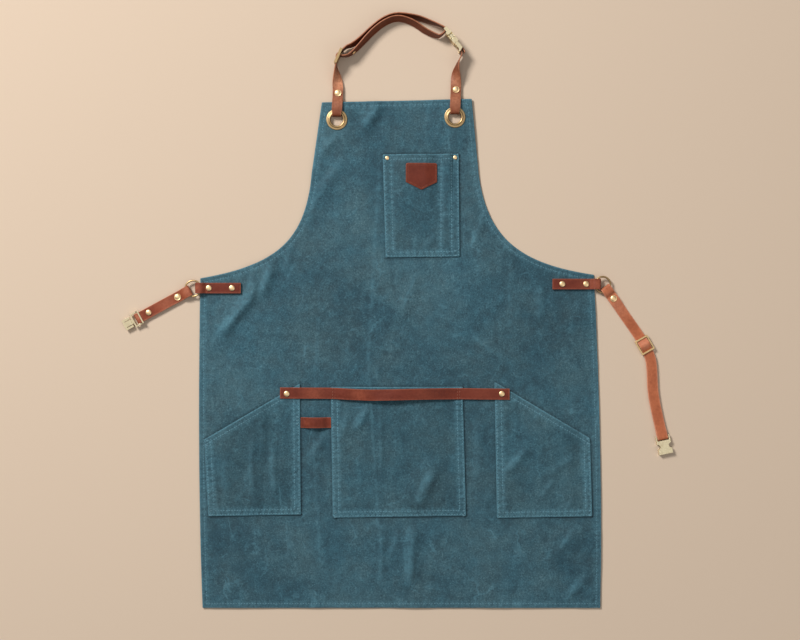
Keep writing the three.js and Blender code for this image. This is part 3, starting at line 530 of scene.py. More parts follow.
# A cut of canvas between its front and its back, with a rounded edge and a turned hem behind.
# Seams pull puckers: their height, pitch and reach, and the groove and rub of the sewn line.
canvas = {
    "thick": 1.0, "edge": 1.0, "edgeDrop": 0.45, "bulge": 0.28, "hemStep": 1.2,
    "rimRub": 0.9, "rimReach": 1.6, "edgeReach": 9.0, "groove": 0.38, "grooveReach": 1.1, "rubReach": 4.2,
    "pucker": 0.32, "puckerPitch": 9.5, "puckerReach": 5.0, "drift": 23.0, "driftTurn": 2.1,
    "puckerFade": (0.5, 3), "puckerRub": 0.34, "creaseFade": (3, 14), "turnedRub": 0.8,
    "step": 0.8, "stagger": 0.5, "clear": 0.3, "holeSides": 40, "holeClear": 1.5, "holeShare": 0.98,
}


def clothSpots(cloth, outline):
    pitch, rings = cloth["pitch"], cloth["rings"]
    low, high = outline.min(axis=0), outline.max(axis=0)
    grid = gridOf(np.arange(low[0], high[0], pitch), np.arange(low[1], high[1], pitch))
    shifted = pitch * canvas["stagger"]
    grid[:, 0] += (np.round((grid[:, 1] - low[1]) / pitch) % 2) * shifted
    band = np.vstack([dense(inset(outline, d), pitch * canvas["step"], True) for d in rings])
    return np.vstack([within(band, outline, canvas["clear"]), within(grid, outline, rings[-1] + shifted)])


def clothPiece(name, cloth, look):
    outline, hem, holes = np.asarray(cloth["outline"], float), cloth["hem"], cloth.get("holes", [])
    spots = clothSpots(cloth, outline)
    loops = [dense(outline, cloth["pitch"] * canvas["step"], True)]
    for x, y, radius in holes:
        spots = spots[np.hypot(spots[:, 0] - x, spots[:, 1] - y) > radius + canvas["holeClear"]]
        turn = np.linspace(0, 2 * np.pi, canvas["holeSides"], endpoint=False)
        loops.append(np.stack([x + radius * np.cos(turn), y + radius * np.sin(turn)], axis=1))
    flat, faces, _ = filled(loops, spots)
    middles = np.array([flat[list(f)].mean(axis=0) for f in faces])
    keep = inside(middles, outline)
    for x, y, radius in holes:
        keep &= np.hypot(middles[:, 0] - x, middles[:, 1] - y) > radius * canvas["holeShare"]
    faces = [f for f, kept in zip(faces, keep) if kept]
    x, y = flat[:, 0], flat[:, 1]
    gap = nearest(flat, closedLoop(outline))[0]
    lift, mark = creaseMarks(x, y)
    # The folds' painted highlights join the pale crease marks
    mark = np.maximum(mark, folded(cloth["sharp"], x, y)[1])
    top = cloth["top"](x, y) + lift * smooth(gap, *canvas["creaseFade"])
    rub = canvas["rimRub"] * bell(gap, canvas["rimReach"]) + cloth["edgeRub"] * bell(gap, canvas["edgeReach"])
    for i, seam in enumerate(cloth["seams"]):
        away, run = nearest(flat, np.asarray(seam["path"], float))
        drift = canvas["driftTurn"] * np.sin(run / canvas["drift"] + i)
        ripple = np.sin(run * 2 * np.pi / canvas["puckerPitch"] + drift)
        pulled = ripple * bell(away, canvas["puckerReach"]) * smooth(gap, *canvas["puckerFade"])
        top += canvas["pucker"] * pulled - canvas["groove"] * bell(away, canvas["grooveReach"])
        uneven = 1 - canvas["puckerRub"] * (1 - ripple)
        rub = np.maximum(rub, seam["rub"] * bell(away, canvas["rubReach"]) * uneven)
    edge = np.clip(1 - gap / canvas["edge"], 0, 1)
    top -= canvas["edgeDrop"] * (1 - np.sqrt(np.maximum(0, 1 - edge**2)))
    thick = canvas["thick"] + hem["drop"] * (1 - smooth(gap, hem["width"], hem["width"] + canvas["hemStep"]))
    sides = {side for face in faces for side in zip(face, face[1:] + face[:1])}
    rim = [(a, b) for face in faces for a, b in zip(face, face[1:] + face[:1]) if (b, a) not in sides]
    out = {}
    for a, b in rim:
        step = flat[b] - flat[a]
        away = np.array([step[1], -step[0]]) / max(np.linalg.norm(step), tiny)
        out[a], out[b] = out.get(a, 0) + away, out.get(b, 0) + away
    count, ring = len(flat), list(out)
    spot = {a: 2 * count + i for i, a in enumerate(ring)}
    bulge = [[*(flat[a] + unit(out[a]) * canvas["bulge"]), top[a] - 0.5 * thick[a]] for a in ring]
    walls = [(a, spot[a], spot[b], b) for a, b in rim]
    walls += [(spot[a], a + count, b + count, spot[b]) for a, b in rim]
    behind = [tuple(i + count for i in reversed(face)) for face in faces]
    # Painted shade along the dark lines listed for the cloth
    grime = np.zeros(count)
    for path, reach, weight in cloth.get("grime", []):
        grime = np.maximum(grime, weight * bell(nearest(flat, path)[0], reach))
    marks = {
        "grime": np.concatenate([grime, 0 * grime, 0 * grime[ring]]),
        "rub": np.concatenate([rub, rub, np.maximum(rub[ring], canvas["turnedRub"])]),
        "crease": np.concatenate([mark, mark, mark[ring]]),
    }
    layers = [np.column_stack([x, y, top]), np.column_stack([x, y, np.maximum(top - thick, 0.0)]), bulge]
    piece = makePiece(name, toFrame(np.vstack(layers)), faces + behind + walls, look, marks)
    span, ends = outline.max(axis=0) - outline.min(axis=0), np.roll(outline, -1, axis=0)
    area = 0.5 * abs(np.sum(outline[:, 0] * ends[:, 1] - outline[:, 1] * ends[:, 0]))
    area -= sum(np.pi * radius**2 for _, _, radius in holes)
    size, area = tuple(span * millimetre), area * millimetre**2
    return piece


# Patch pockets, corners in the order bottom left, bottom right, top right, top left. Rows of stitches
# stand in from the sides, the mouth and the bottom; tacks are x, y and half length.
lowSewing = {"rows": [2.6, 10.6], "mouth": 8.2, "bottom": 9.4, "extra": []}
pockets = {
    "chestPocket": {
        "corners": [(-24.4, 602), (102.5, 603.5), (101, 779.5), (-29.4, 778.5)], "bolt": 11.0,
        "rows": [2.2, 13.2], "mouth": 8.6, "bottom": 8.6, "tacks": [(95, 609, 4), (-20, 608, 4)],
        "extra": [[(70.4, 779), (70.4, 603)], [(71, 676), (91, 676)]],
        "ease": [(-17, 66, 5.6), (72, 91, 5.2)], "folds": [],
        "sharp": [([(62, 640), (50, 628), (40, 612)], 9, 1.2), ([(22, 650), (30, 634), (30, 616)], 9, 0.9)],
    },
    "hipPocketLeft": {
        "corners": [(-329, 157.5), (-170.3, 160.5), (-172, 385), (-336, 289)], "bolt": 21.0,
        **lowSewing,
        "tacks": [(-176.5, 322, 6), (-175, 166, 4), (-325, 163, 4), (-331, 283, 4)],
        "ease": [(-325, -213, 6.5)],
        "folds": [(-254, 260, -254, 184, 26, 2.5), (-214, 240, -216, 190, 24, 2.0)],
        "sharp": [
            ([(-219, 290), (-218, 240), (-212, 176)], 10, 2.4),
            ([(-252, 300), (-256, 240), (-250, 172)], 9, 1.6),
            ([(-300, 270), (-296, 230), (-300, 180)], 12, 1.2),
            ([(-238, 330), (-234, 300), (-236, 270)], 8, 1.0),
        ],
    },
    "centerPocket": {
        "corners": [(-115.2, 155), (113.5, 158.5), (107.5, 379.6), (-118.7, 379.6)], "bolt": 31.0,
        **lowSewing,
        "tacks": [(-111, 160, 4), (109.5, 163, 4), (103.5, 372, 5)],
        "ease": [(-104, 94, 5.2)], "folds": [(54, 240, 28, 192, 30, 3.5), (-62, 340, -82, 312, 26, 2.5)],
        "sharp": [
            ([(64, 244), (46, 210), (26, 162)], 14, 2.6), ([(-50, 346), (-68, 326), (-78, 296)], 11, 2.4),
            ([(-32.7, 370), (-32, 260), (-31, 162)], 6, 0.9), ([(-88, 340), (-94, 318), (-96, 296)], 8, 1.2),
            ([(-60, 220), (-40, 200), (-44, 180)], 9, 0.8), ([(20, 330), (50, 318), (70, 290)], 12, 1.0),
        ],
    },
    "hipPocketRight": {
        "corners": [(166.8, 154.5), (330, 157.5), (326.5, 291), (162.5, 388)], "bolt": 41.0,
        **lowSewing,
        "tacks": [(170.5, 160, 4), (326, 163, 4), (322, 286, 4), (167, 300, 5)],
        "ease": [(202, 316, 6.5)], "folds": [(214, 270, 190, 228, 28, 2.5)],
        "sharp": [
            ([(222, 276), (200, 250), (176, 224)], 12, 2.4), ([(266, 222), (252, 204), (240, 180)], 10, 1.6),
            ([(300, 262), (276, 236), (236, 226)], 13, 1.2), ([(300, 190), (290, 176), (284, 164)], 8, 1.0),
        ],
    },
}


# Body panel: pads lift it under the grommets' straps, and it lies flat where a piece is sewn to it
grommetSpots = {"Left": (-108.4, 838.5), "Right": (94.2, 842.6)}
body = {
    "outline": np.vstack([
        [[-339, 0]],
        bezier([[344, 0], [350, 240], [333, 572]], 14),
        bezier([[333, 572], [217, 589.5], [149, 627], [135, 747]], 30),
        [[135, 747], [123, 874], [-134, 868]],
        bezier([[-151.4, 747], [-162, 627], [-216, 588], [-343, 566]], 30),
        bezier([[-343, 566], [-349, 240], [-339, 0]], 14),
    ]),
    "rest": 2.8, "seam": 7.6, "hole": 12.4,
    "pads": [(-130, -86, 816, 880), (73, 116, 816, 886)], "padRise": 3.0, "padFade": 36,
    "held": [
        (-336, -166, 150, 392), (-122, 118, 150, 392), (160, 334, 150, 394), (-34, 106, 598, 784),
        (-360, -268, 536, 562), (258, 352, 543, 569), (-175, -112, 300, 336), (-212, 194, 352, 384),
        (-132, -84, 812, 890), (70, 118, 812, 890),
    ],
    "heldFade": 26, "underTab": (-360, -271, 538, 561), "tabFade": 14,
    "swell": 0.9, "lumps": 0.75, "foldShare": 0.55, "sharpFree": 0.5,
    "folds": [
        (-255, 580, -260, 540, 26, 7.0), (-260, 540, -292, 506, 26, 7.5), (-292, 506, -322, 452, 28, 5.5),
        (-222, 600, -238, 548, 24, 4.0), (-44, 872, -60, 828, 24, 4.5), (-143, 800, -147, 750, 22, 3.5),
        (-122, 728, -156, 684, 24, 3.0), (14, 116, 10, 54, 28, 5.0), (296, 124, 268, 92, 28, 4.0),
        (29, 575, 4, 512, 22, 2.5),
    ],
    "sharp": [
        ([(-246, 572), (-248, 530), (-285, 500), (-318, 452)], 13, 4.2),
        ([(-217, 588), (-226, 570), (-234, 548), (-236, 530)], 13, 3.4),
        ([(-188, 604), (-192, 592), (-198, 574)], 11, 1.8), ([(-36, 866), (-42, 842), (-68, 820)], 13, 3.0),
        ([(-86, 818), (-118, 810), (-130, 790), (-136, 764)], 12, 2.6),
        ([(-96, 768), (-118, 742), (-144, 702)], 14, 2.0),
        ([(29, 144), (16, 110), (24, 60), (13, 24)], 12, 3.2),
        ([(-1, 142), (-6, 110), (-22, 70)], 9, 1.6), ([(-32.7, 150), (-32, 90), (-31, 10)], 8, 1.7),
        ([(302, 138), (286, 112), (270, 88)], 9, 1.6), ([(322, 56), (304, 34), (283, 11)], 12, 2.4),
        ([(-56, 410), (-54, 400), (-54, 388)], 6, 1.5), ([(-37, 414), (-38, 404), (-42, 390)], 5, 1.2),
        ([(-118, 306), (-142, 280), (-156, 240)], 13, 2.2), ([(134, 330), (136, 280), (136, 190)], 14, 1.4),
        ([(150, 690), (140, 650), (120, 612)], 10, 1.2), ([(246, 560), (238, 520), (240, 480)], 12, 1.6),
        ([(-300, 420), (-282, 400), (-262, 372)], 10, 1.2), ([(120, 470), (150, 452), (175, 430)], 11, 1.0),
        ([(-186, 140), (-180, 110), (-190, 60)], 14, 1.2), ([(196, 140), (200, 100), (214, 60)], 12, 1.2),
    ],
}


# Slow swells of loose cloth: wave lengths, and the drift of each as amount, length and start
swells = {
    "across": 41, "along": 52, "slant": (23, 31), "slantShare": 0.6, "level": 0.8, "share": 0.5,
    "drifts": [(1.3, 67, 0), (1.1, 83, 2), (1.7, 47, 0)],
}


def swelling(x, y):
    (one, two, three), (slantX, slantY) = swells["drifts"], swells["slant"]
    first, second, third = (
        amount * np.sin(place / length + start)
        for place, (amount, length, start) in ((y, one), (x, two), (y, three))
    )
    waves = np.sin(x / swells["across"] + first) * np.sin(y / swells["along"] + second)
    waves += swells["slantShare"] * np.sin(x / slantX + y / slantY + third)
    return swells["level"] + swells["share"] * waves


def bodyTop(x, y):
    lifted = np.zeros(len(x))
    for pad in body["pads"]:
        off = np.maximum(outside(x, y, pad), 0)
        lifted = np.maximum(lifted, body["padRise"] * np.maximum(0, 1 - off / body["padFade"]))
    off = np.maximum(outside(x, y, body["underTab"]), 0)
    tents = body["foldShare"] * ridges(body["folds"], x, y) * np.minimum(1, off / body["tabFade"])
    away = np.minimum.reduce([outside(x, y, box) for box in body["held"]])
    free = smooth(away, 0, body["heldFade"])
    loose = body["swell"] * swelling(x, y) + body["lumps"] * rumple(x, y, 0.0)
    sharp = smooth(free, 0, body["sharpFree"]) * folded(body["sharp"], x, y)[0]
    return body["rest"] + np.maximum(lifted, tents) + free * loose + sharp


# Painted shade: dark lines on the body where the pockets' edges stand off it, heaviest on the bottom and
# right sides: bottom, right, mouth and left
paintedShadeSides = {"off": [-1.1, -1.1, -1.4, -0.8], "weight": [0.9, 1.0, 0.75, 0.4], "reach": 1.6}
paintedShadeLines = []
for pocket in pockets.values():
    outer = inset(np.array(pocket["corners"], float), paintedShadeSides["off"])
    for i, weight in enumerate(paintedShadeSides["weight"]):
        paintedShadeLines.append((outer[[i, (i + 1) % 4]], paintedShadeSides["reach"], weight))

bodySeam = closedLoop(inset(body["outline"], body["seam"]))
bodyPanel = clothPiece("bodyPanel", {
    "outline": body["outline"], "pitch": 4.0, "rings": [0.5, 1.2, 3.2, 5.6, 6.8, 7.6, 8.4, 9.6, 11.2, 14.0],
    "hem": {"width": 9.0, "drop": 1.8}, "top": bodyTop, "edgeRub": 0.12, "sharp": body["sharp"],
    # the dark lines here are painted shade beside the pockets
    "grime": paintedShadeLines, "seams": [{"path": bodySeam, "rub": 0.62}], "restsOn": ["floor"],
    "holes": [(x, y, body["hole"]) for x, y in grommetSpots.values()],
}, "bodyCanvas")
settle(bodyPanel)
print("stage: body panel made", len(bodyPanel.data.polygons))

pocketLook = {
    "rest": 5.1, "lumps": 0.5, "fall": 0.8, "side": 0.3, "mouthInset": 0.8,
    "rowRub": 0.85, "hemRub": 0.55, "extraRub": 0.8, "hemEnds": 0.6,
    "mouthFree": (18, 50), "footFree": (2, 24),
}


def pocketTop(pocket):
    bottom, topRight, topLeft = pocket["corners"][0], pocket["corners"][2], pocket["corners"][3]
    slope = (topRight[1] - topLeft[1]) / (topRight[0] - topLeft[0])

    def height(x, y):
        mouth = topLeft[1] + (x - topLeft[0]) * slope
        fall = 1 - smooth((mouth - y) / (pocketLook["fall"] * (mouth - bottom[1])), 0, 1)
        ease = np.zeros(len(x))
        for x0, x1, rise in pocket["ease"]:
            u = (x - x0) / (x1 - x0)
            ease += rise * smooth(np.minimum(u, 1 - u), 0, pocketLook["side"]) * fall
        free = smooth(mouth - y, *pocketLook["mouthFree"]) * smooth(y - bottom[1], *pocketLook["footFree"])
        sharp = folded(pocket["sharp"], x, y)[0] + pocketLook["lumps"] * free * rumple(x, y, pocket["bolt"])
        return pocketLook["rest"] + np.maximum(ease, ridges(pocket["folds"], x, y)) + sharp

    return height


for name, pocket in pockets.items():
    corners = np.array(pocket["corners"], float)
    outerRow, innerRow = pocket["rows"]
    seams = []
    for row, foot in ((outerRow, outerRow), (innerRow, pocket["bottom"])):
        sewn = inset(corners, [foot, row, pocketLook["mouthInset"], row])
        seams.append({"path": sewn[[3, 0, 1, 2]], "rub": pocketLook["rowRub"]})
    ends = pocketLook["hemEnds"]
    hemLine = inset(corners, [ends, ends, pocket["mouth"], ends])
    seams.append({"path": hemLine[[3, 2]], "rub": pocketLook["hemRub"]})
    seams += [{"path": np.array(path, float), "rub": pocketLook["extraRub"]} for path in pocket["extra"]]
    pocket["seams"], pocket["top"] = seams, pocketTop(pocket)
    cloth = {
        "outline": corners, "pitch": 2.6, "rings": [0.5, 1.2, 2.6, 4.0], "hem": {"width": 10.0, "drop": 1.0},
        "top": pocket["top"], "edgeRub": 0.25, "seams": seams, "sharp": pocket["sharp"],
        "restsOn": ["bodyPanel"],
    }
    settle(clothPiece(name, cloth, "pocketCanvas"))
print("stage: pockets made")


# Leather straps: rows of x, y, z, turn and roll of the width, and the width's share
leatherThick, leatherCorner, play = 2.0, 0.6, 0.3
strapSteps, strapSpacing, strapSharp, leastStep = 24, 1.2, 50, 1e-4


def ribbonPath(rows, steps):
    rows = np.asarray(rows, float)
    spots = rows[:, :3]
    before = np.vstack([2 * spots[0] - spots[1], spots[:-1]])
    after = np.vstack([spots[2:], 2 * spots[-1] - spots[-2]])
    made = []
    for i in range(len(rows) - 1):
        p0, p1, p2, p3 = before[i], spots[i], spots[i + 1], after[i]
        gaps = (np.linalg.norm(b - a) for a, b in ((p0, p1), (p1, p2), (p2, p3)))
        d0, d1, d2 = (max(math.sqrt(gap), leastStep) for gap in gaps)
        m1 = ((p1 - p0) / d0 - (p2 - p0) / (d0 + d1) + (p2 - p1) / d1) * d1
        m2 = ((p2 - p1) / d1 - (p3 - p1) / (d1 + d2) + (p3 - p2) / d2) * d1
        count = max(2, min(steps, math.ceil(np.linalg.norm(p2 - p1) / strapSpacing)))
        t = np.linspace(0, 1, count, endpoint=i == len(rows) - 2)[:, None]
        curve = (2 * t**3 - 3 * t**2 + 1) * p1 + (t**3 - 2 * t**2 + t) * m1
        curve = curve + (3 * t**2 - 2 * t**3) * p2 + (t**3 - t**2) * m2
        made.append(np.hstack([curve, rows[i, 3:] + (rows[i + 1, 3:] - rows[i, 3:]) * t]))
    return np.vstack(made)


# Across a strap's face: places, pressed lines beside the edges, and the paleness of cut edges
strapFace = {
    "places": np.array([-1, -0.86, -0.5, 0, 0.5, 0.86, 1]),
    "press": np.array([0, -0.16, 0.02, 0.06, 0.02, -0.16, 0]),
    "corner": np.radians([75, 45, 15, -15, -45, -75]),
    "upperEdge": [0.55, 0.1, 0, 0, 0, 0.1, 0.55], "sideEdge": [0.8, 1, 1, 1, 1, 0.8],
    "lowerEdge": [0.55, 0, 0, 0, 0, 0, 0.55],
}


def strapSection(width):
    half, deep, arc = width / 2 - leatherCorner, leatherThick / 2, strapFace["corner"]
    flat = strapFace["places"] * half
    rise = (deep - leatherCorner) * np.sign(np.sin(arc)) + leatherCorner * np.sin(arc)
    side = np.stack([half + leatherCorner * np.cos(arc), rise], axis=1)
    upper = np.stack([flat, deep + strapFace["press"]], axis=1)
    lower = np.stack([flat[::-1], np.full(len(flat), -deep)], axis=1)
    pale = [*strapFace["upperEdge"], *strapFace["sideEdge"], *strapFace["lowerEdge"], *strapFace["sideEdge"]]
    return np.vstack([upper, side, lower, -side]), np.array(pale)


def ribbon(name, strap):
    path = ribbonPath(strap["rows"], strapSteps)
    spots, wide = path[:, :3], path[:, 5]
    tangent = unit(np.gradient(spots, axis=0))
    turn, roll = np.radians(path[:, 3]), np.radians(path[:, 4])
    for x, reach, degrees in strap.get("sway", []):
        roll = roll + math.radians(degrees) * bell(spots[:, 0] - x, reach)
    across = np.stack([np.cos(roll) * np.cos(turn), np.cos(roll) * np.sin(turn), np.sin(roll)], axis=1)
    normal = unit(np.cross(tangent, across))
    across = np.cross(normal, tangent)
    section, edge = strapSection(strap["width"])
    points = spots[:, None] + across[:, None] * (section[None, :, :1] * wide[:, None, None])
    points = points + normal[:, None] * section[None, :, 1:]
    count, size = len(spots), len(section)
    ring = np.arange(size)
    faces = [
        (i * size + j, i * size + k, (i + 1) * size + k, (i + 1) * size + j)
        for i in range(count - 1) for j, k in zip(ring.tolist(), np.roll(ring, -1).tolist())
    ]
    faces += [tuple(ring[::-1].tolist()), tuple((ring + (count - 1) * size).tolist())]
    marks = np.tile(edge * strap.get("cut", 1.0), (count, 1))
    marks[[0, -1]] = 1
    # Painted highlights: pale spots where a bend, fold or bow of the leather catches the light
    for x, y, reach, pale in strap["pale"]:
        marks = np.maximum(marks, pale * bell(np.hypot(points[:, :, 0] - x, points[:, :, 1] - y), reach))
    piece = makePiece(name, toFrame(points.reshape(-1, 3)), faces, strap["look"], {"edge": marks.ravel()})
    return faceOut(piece, strapSharp)


# Routes: round a bar, a wire or a grommet's edge the leather follows an arc, elsewhere chosen points
barHeight, barWrap = 3.7, 1.1 + play + leatherThick / 2
ringSpots = {"Left": (-355, 548.5, 208.4), "Right": (347.6, 555.2, -51)}
ringSizes = {"radius": 13.4, "wire": 1.6, "height": 7.0, "tilt": 4}
ringWrap, ringSlack = ringSizes["wire"] + 2 * play + leatherThick / 2, 4.4
layerLow, layerHigh = 2.0, 4.3
tabLow, tabHigh, stripRest = 4.1, 6.4, 6.4
planSteps = 400
snapAt, sliderAt, leftRivetAt, leftLength = 17, 113, 73.4, 95
neckFold = {"radius": 4.0, "height": 5.6, "above": 9.6, "squeeze": 0.84}


def bend(s, z, radius, start, end, count=6):
    angles = np.radians(np.linspace(start, end, count + 1))
    return [(s + radius * math.cos(a), z + radius * math.sin(a)) for a in angles]


def ahead(x, y, heading, length):
    return x + length * math.cos(math.radians(heading)), y + length * math.sin(math.radians(heading))


def wireHeight(off):
    drop = ringSizes["radius"] * math.sin(math.radians(ringSizes["tilt"]))
    return ringSizes["height"] - drop * math.cos(math.radians(off))


# A curve on the floor, and rows along it from the distance and the height
def floorCurve(points):
    path = ribbonPath([(x, y, 0) for x, y in points], planSteps)[:, :2]
    run = np.concatenate([[0], np.cumsum(np.linalg.norm(np.diff(path, axis=0), axis=1))])
    return {"path": path, "run": run, "heading": unit(np.gradient(path, run, axis=0)), "length": run[-1]}


def laid(plan, profile):
    rows = []
    for s, z in profile:
        held = min(max(s, 0), plan["length"])
        columns = (*plan["path"].T, *plan["heading"].T)
        x, y, along, up = (np.interp(held, plan["run"], column) for column in columns)
        turn = math.degrees(math.atan2(along, -up))
        rows.append((x + along * (s - held), y + up * (s - held), z, turn, 0, 1))
    return rows


def tabRows(x, y, heading, length, ringHeading):
    over = wireHeight(heading - ringHeading) + ringWrap
    fold = bend(0, (tabLow + over) / 2, (over - tabLow) / 2, -90, -270)
    return laid(floorCurve([(x, y), ahead(x, y, heading, length)]), [
        (length, tabLow), (length / 2, tabLow), (13.4, tabLow), *fold, (6.5, over),
        (13.4, tabHigh), (16.4, tabHigh), (length / 2, tabHigh), (length, tabHigh),
    ])


def ringEnd():
    wire = wireHeight(0)
    return [
        (snapAt + 13, layerLow), (snapAt, layerLow), (6, wire - ringWrap + 0.2),
        *bend(-ringSlack, wire, ringWrap, -90, -270), (0, wire + ringWrap), (5, wire + 1.7),
        (10.5, layerHigh), (snapAt, layerHigh), (snapAt + 8, layerHigh),
    ]


def waistLeftRows():
    x, y, heading = ringSpots["Left"]
    start = ahead(x, y, heading, ringSizes["radius"])
    bar = leftLength
    return laid(floorCurve([start, ahead(*start, heading, bar)]), [
        *ringEnd(), (50, layerHigh), (leftRivetAt - 7, layerHigh), (leftRivetAt + 6, layerHigh),
        (bar - 10, layerHigh + 0.9), (bar - 5.6, barHeight + barWrap),
        *bend(bar, barHeight, barWrap, 90, -90),
        (bar - 8, barHeight - barWrap), (leftRivetAt, layerLow), (leftRivetAt - 9, layerLow),
    ])


def waistRightRows():
    start = ahead(*ringSpots["Right"], ringSizes["radius"])
    plan = floorCurve([
        start, (368, 529), (388, 500), (410.6, 467), (428.6, 433.8), (432, 416), (433, 385),
        (438, 352), (450.9, 292.3),
    ])
    bar, under = plan["length"], barHeight - barWrap
    doubled = under + leatherThick + play + 0.1
    crest = barHeight + barWrap + leatherThick + play
    return laid(plan, [
        *ringEnd(), (34, 2.4), (46, 1.3), (80, 1.3), (sliderAt - 18, 2.4), (sliderAt - 12, 3.5),
        (sliderAt - 6, 6.2), (sliderAt, crest), (sliderAt + 6, 6.2), (sliderAt + 10.8, doubled),
        (sliderAt + 30, doubled), (200, doubled), (bar - 20, doubled), (bar - 7, barHeight + barWrap - 0.3),
        *bend(bar, barHeight, barWrap, 90, -90), (bar - 20, under), (200, under), (sliderAt + 30, under),
        (sliderAt + 9, under), *bend(sliderAt, barHeight, barWrap, -90, -245),
    ])


# Rows in the frame of a fitting that stands on its edge: x, y, z, heading and the side of its back
neckSlider = (-104.1, 945.2, 12.2, 66, 1)
neckFemale = (78.6, 990.2, 12.4, -53.1, -1)
maleAlong, maleRise = 37.5, -1.1


def onEdge(fitting, turn, rows):
    x, y, z, heading, side = fitting
    along, up = math.cos(math.radians(heading)), math.sin(math.radians(heading))
    return [(x + a * along - side * h * up, y + a * up + side * h * along, z, turn, 90, 1) for a, h in rows]


neckMale = (*onEdge(neckFemale, 0, [(maleAlong, maleRise)])[0][:3], neckFemale[3] + 180, 1)


def grommetEnd(grommet, snapX, edge, snap, turn):
    x, fold = grommet[0], grommet[1] + neckFold["above"]
    low, high = neckFold["height"] - neckFold["radius"], neckFold["height"] + neckFold["radius"]
    wrap = bend(fold, neckFold["height"], neckFold["radius"], -90, -270)
    profile = [
        (snap + 10, layerLow, 1), (snap, layerLow, 1), (edge + 2, low, 1), (fold + 7, low, 1),
        *[(s, z, neckFold["squeeze"]) for s, z in wrap], (fold + 7, high, 1), (fold + 11, high - 0.2, 1),
        (edge, high - 1.9, 1), (snap - 7.5, layerHigh + 0.3, 1), (snap - 4, layerHigh, 1),
        (snap + 6.5, layerHigh, 1),
    ]
    slope = (snapX - x) / (snap - fold)
    return [(x + slope * (min(s, snap) - fold), s, z, turn, 0, share) for s, z, share in profile]


def free(rows):
    return [(*row, 1) for row in rows]


def neckLongRows():
    crest = barWrap + leatherThick + play
    return [
        *grommetEnd(grommetSpots["Left"], -106.6, 868, 884, 180),
        *free([(-107, 899, 5.0, 180, 14), (-107.8, 909, 7.0, 178, 38), (-109, 919, 9.8, 170, 64)]),
        *onEdge(neckSlider, 156, [(-14, -0.5), (-11, -0.1), (-6, 2.4), (0, crest), (6, 2.4), (11, -0.2)]),
        *free([
            (-92, 961.5, 11.4, 128, 84), (-80.5, 966.4, 10.4, 126, 74), (-67.8, 975.2, 9.8, 130, 68),
            (-47.4, 993.7, 9.6, 128, 66), (-31.1, 1006.4, 9.6, 118, 66), (-15.5, 1013.9, 9.6, 104, 66),
            (-1.9, 1016, 9.6, 90, 66), (16.1, 1014.6, 9.7, 80, 68), (34.1, 1011.2, 10, 72, 72),
            (52.2, 1004.6, 10.8, 66, 78), (68, 998.6, 12, 55, 89),
        ]),
        *onEdge(neckFemale, 50, bend(0, 0, barWrap, -85, 75)),
        *free([
            (73.2, 984, 12, 60, 88), (66, 980.8, 11, 66, 80), (55.4, 984, 10.2, 62, 72),
            (41.5, 991.2, 9.8, 60, 68), (26.6, 1001.4, 9.6, 62, 66), (13.9, 1007.6, 9.6, 72, 66),
            (-1.6, 1011.2, 9.6, 90, 66), (-14.2, 1009.4, 9.6, 104, 66), (-29.4, 1002, 9.6, 118, 66),
            (-45.2, 989.6, 9.6, 128, 66), (-57, 977.6, 9.7, 130, 68), (-70.3, 963.1, 10, 130, 74),
            (-80, 953.6, 10.8, 126, 80), (-88, 948.2, 11.6, 130, 86),
        ]),
        *onEdge(neckSlider, 156, [(4.6, -7.5), (2.9, -3.6), *bend(0, 0, barWrap, 0, 165)]),
    ]


def neckShortRows():
    return [
        *grommetEnd(grommetSpots["Right"], 96, 873.6, 890, 0),
        *free([
            (96, 905, 5.0, 0, 14), (96.3, 915, 7.0, 2, 38),
            (97.6, 926, 9.8, 10, 64), (100.6, 938, 11.6, 20, 84),
        ]),
        *onEdge(neckMale, 37, [
            (-11.3, 3.9), (-7.8, 2.7), (-5.4, barWrap), *bend(0, 0, barWrap, 90, -90), (-6.8, -barWrap),
            (-11.8, -1.6),
        ]),
    ]


dark = {"slot": "dark_leather", "look": "darkLeather", "width": 18}
wearAndHighlight = {"slot": "strap_leather", "width": 18}
neck = {**wearAndHighlight, "look": "neckLeather", "cut": 0.42}
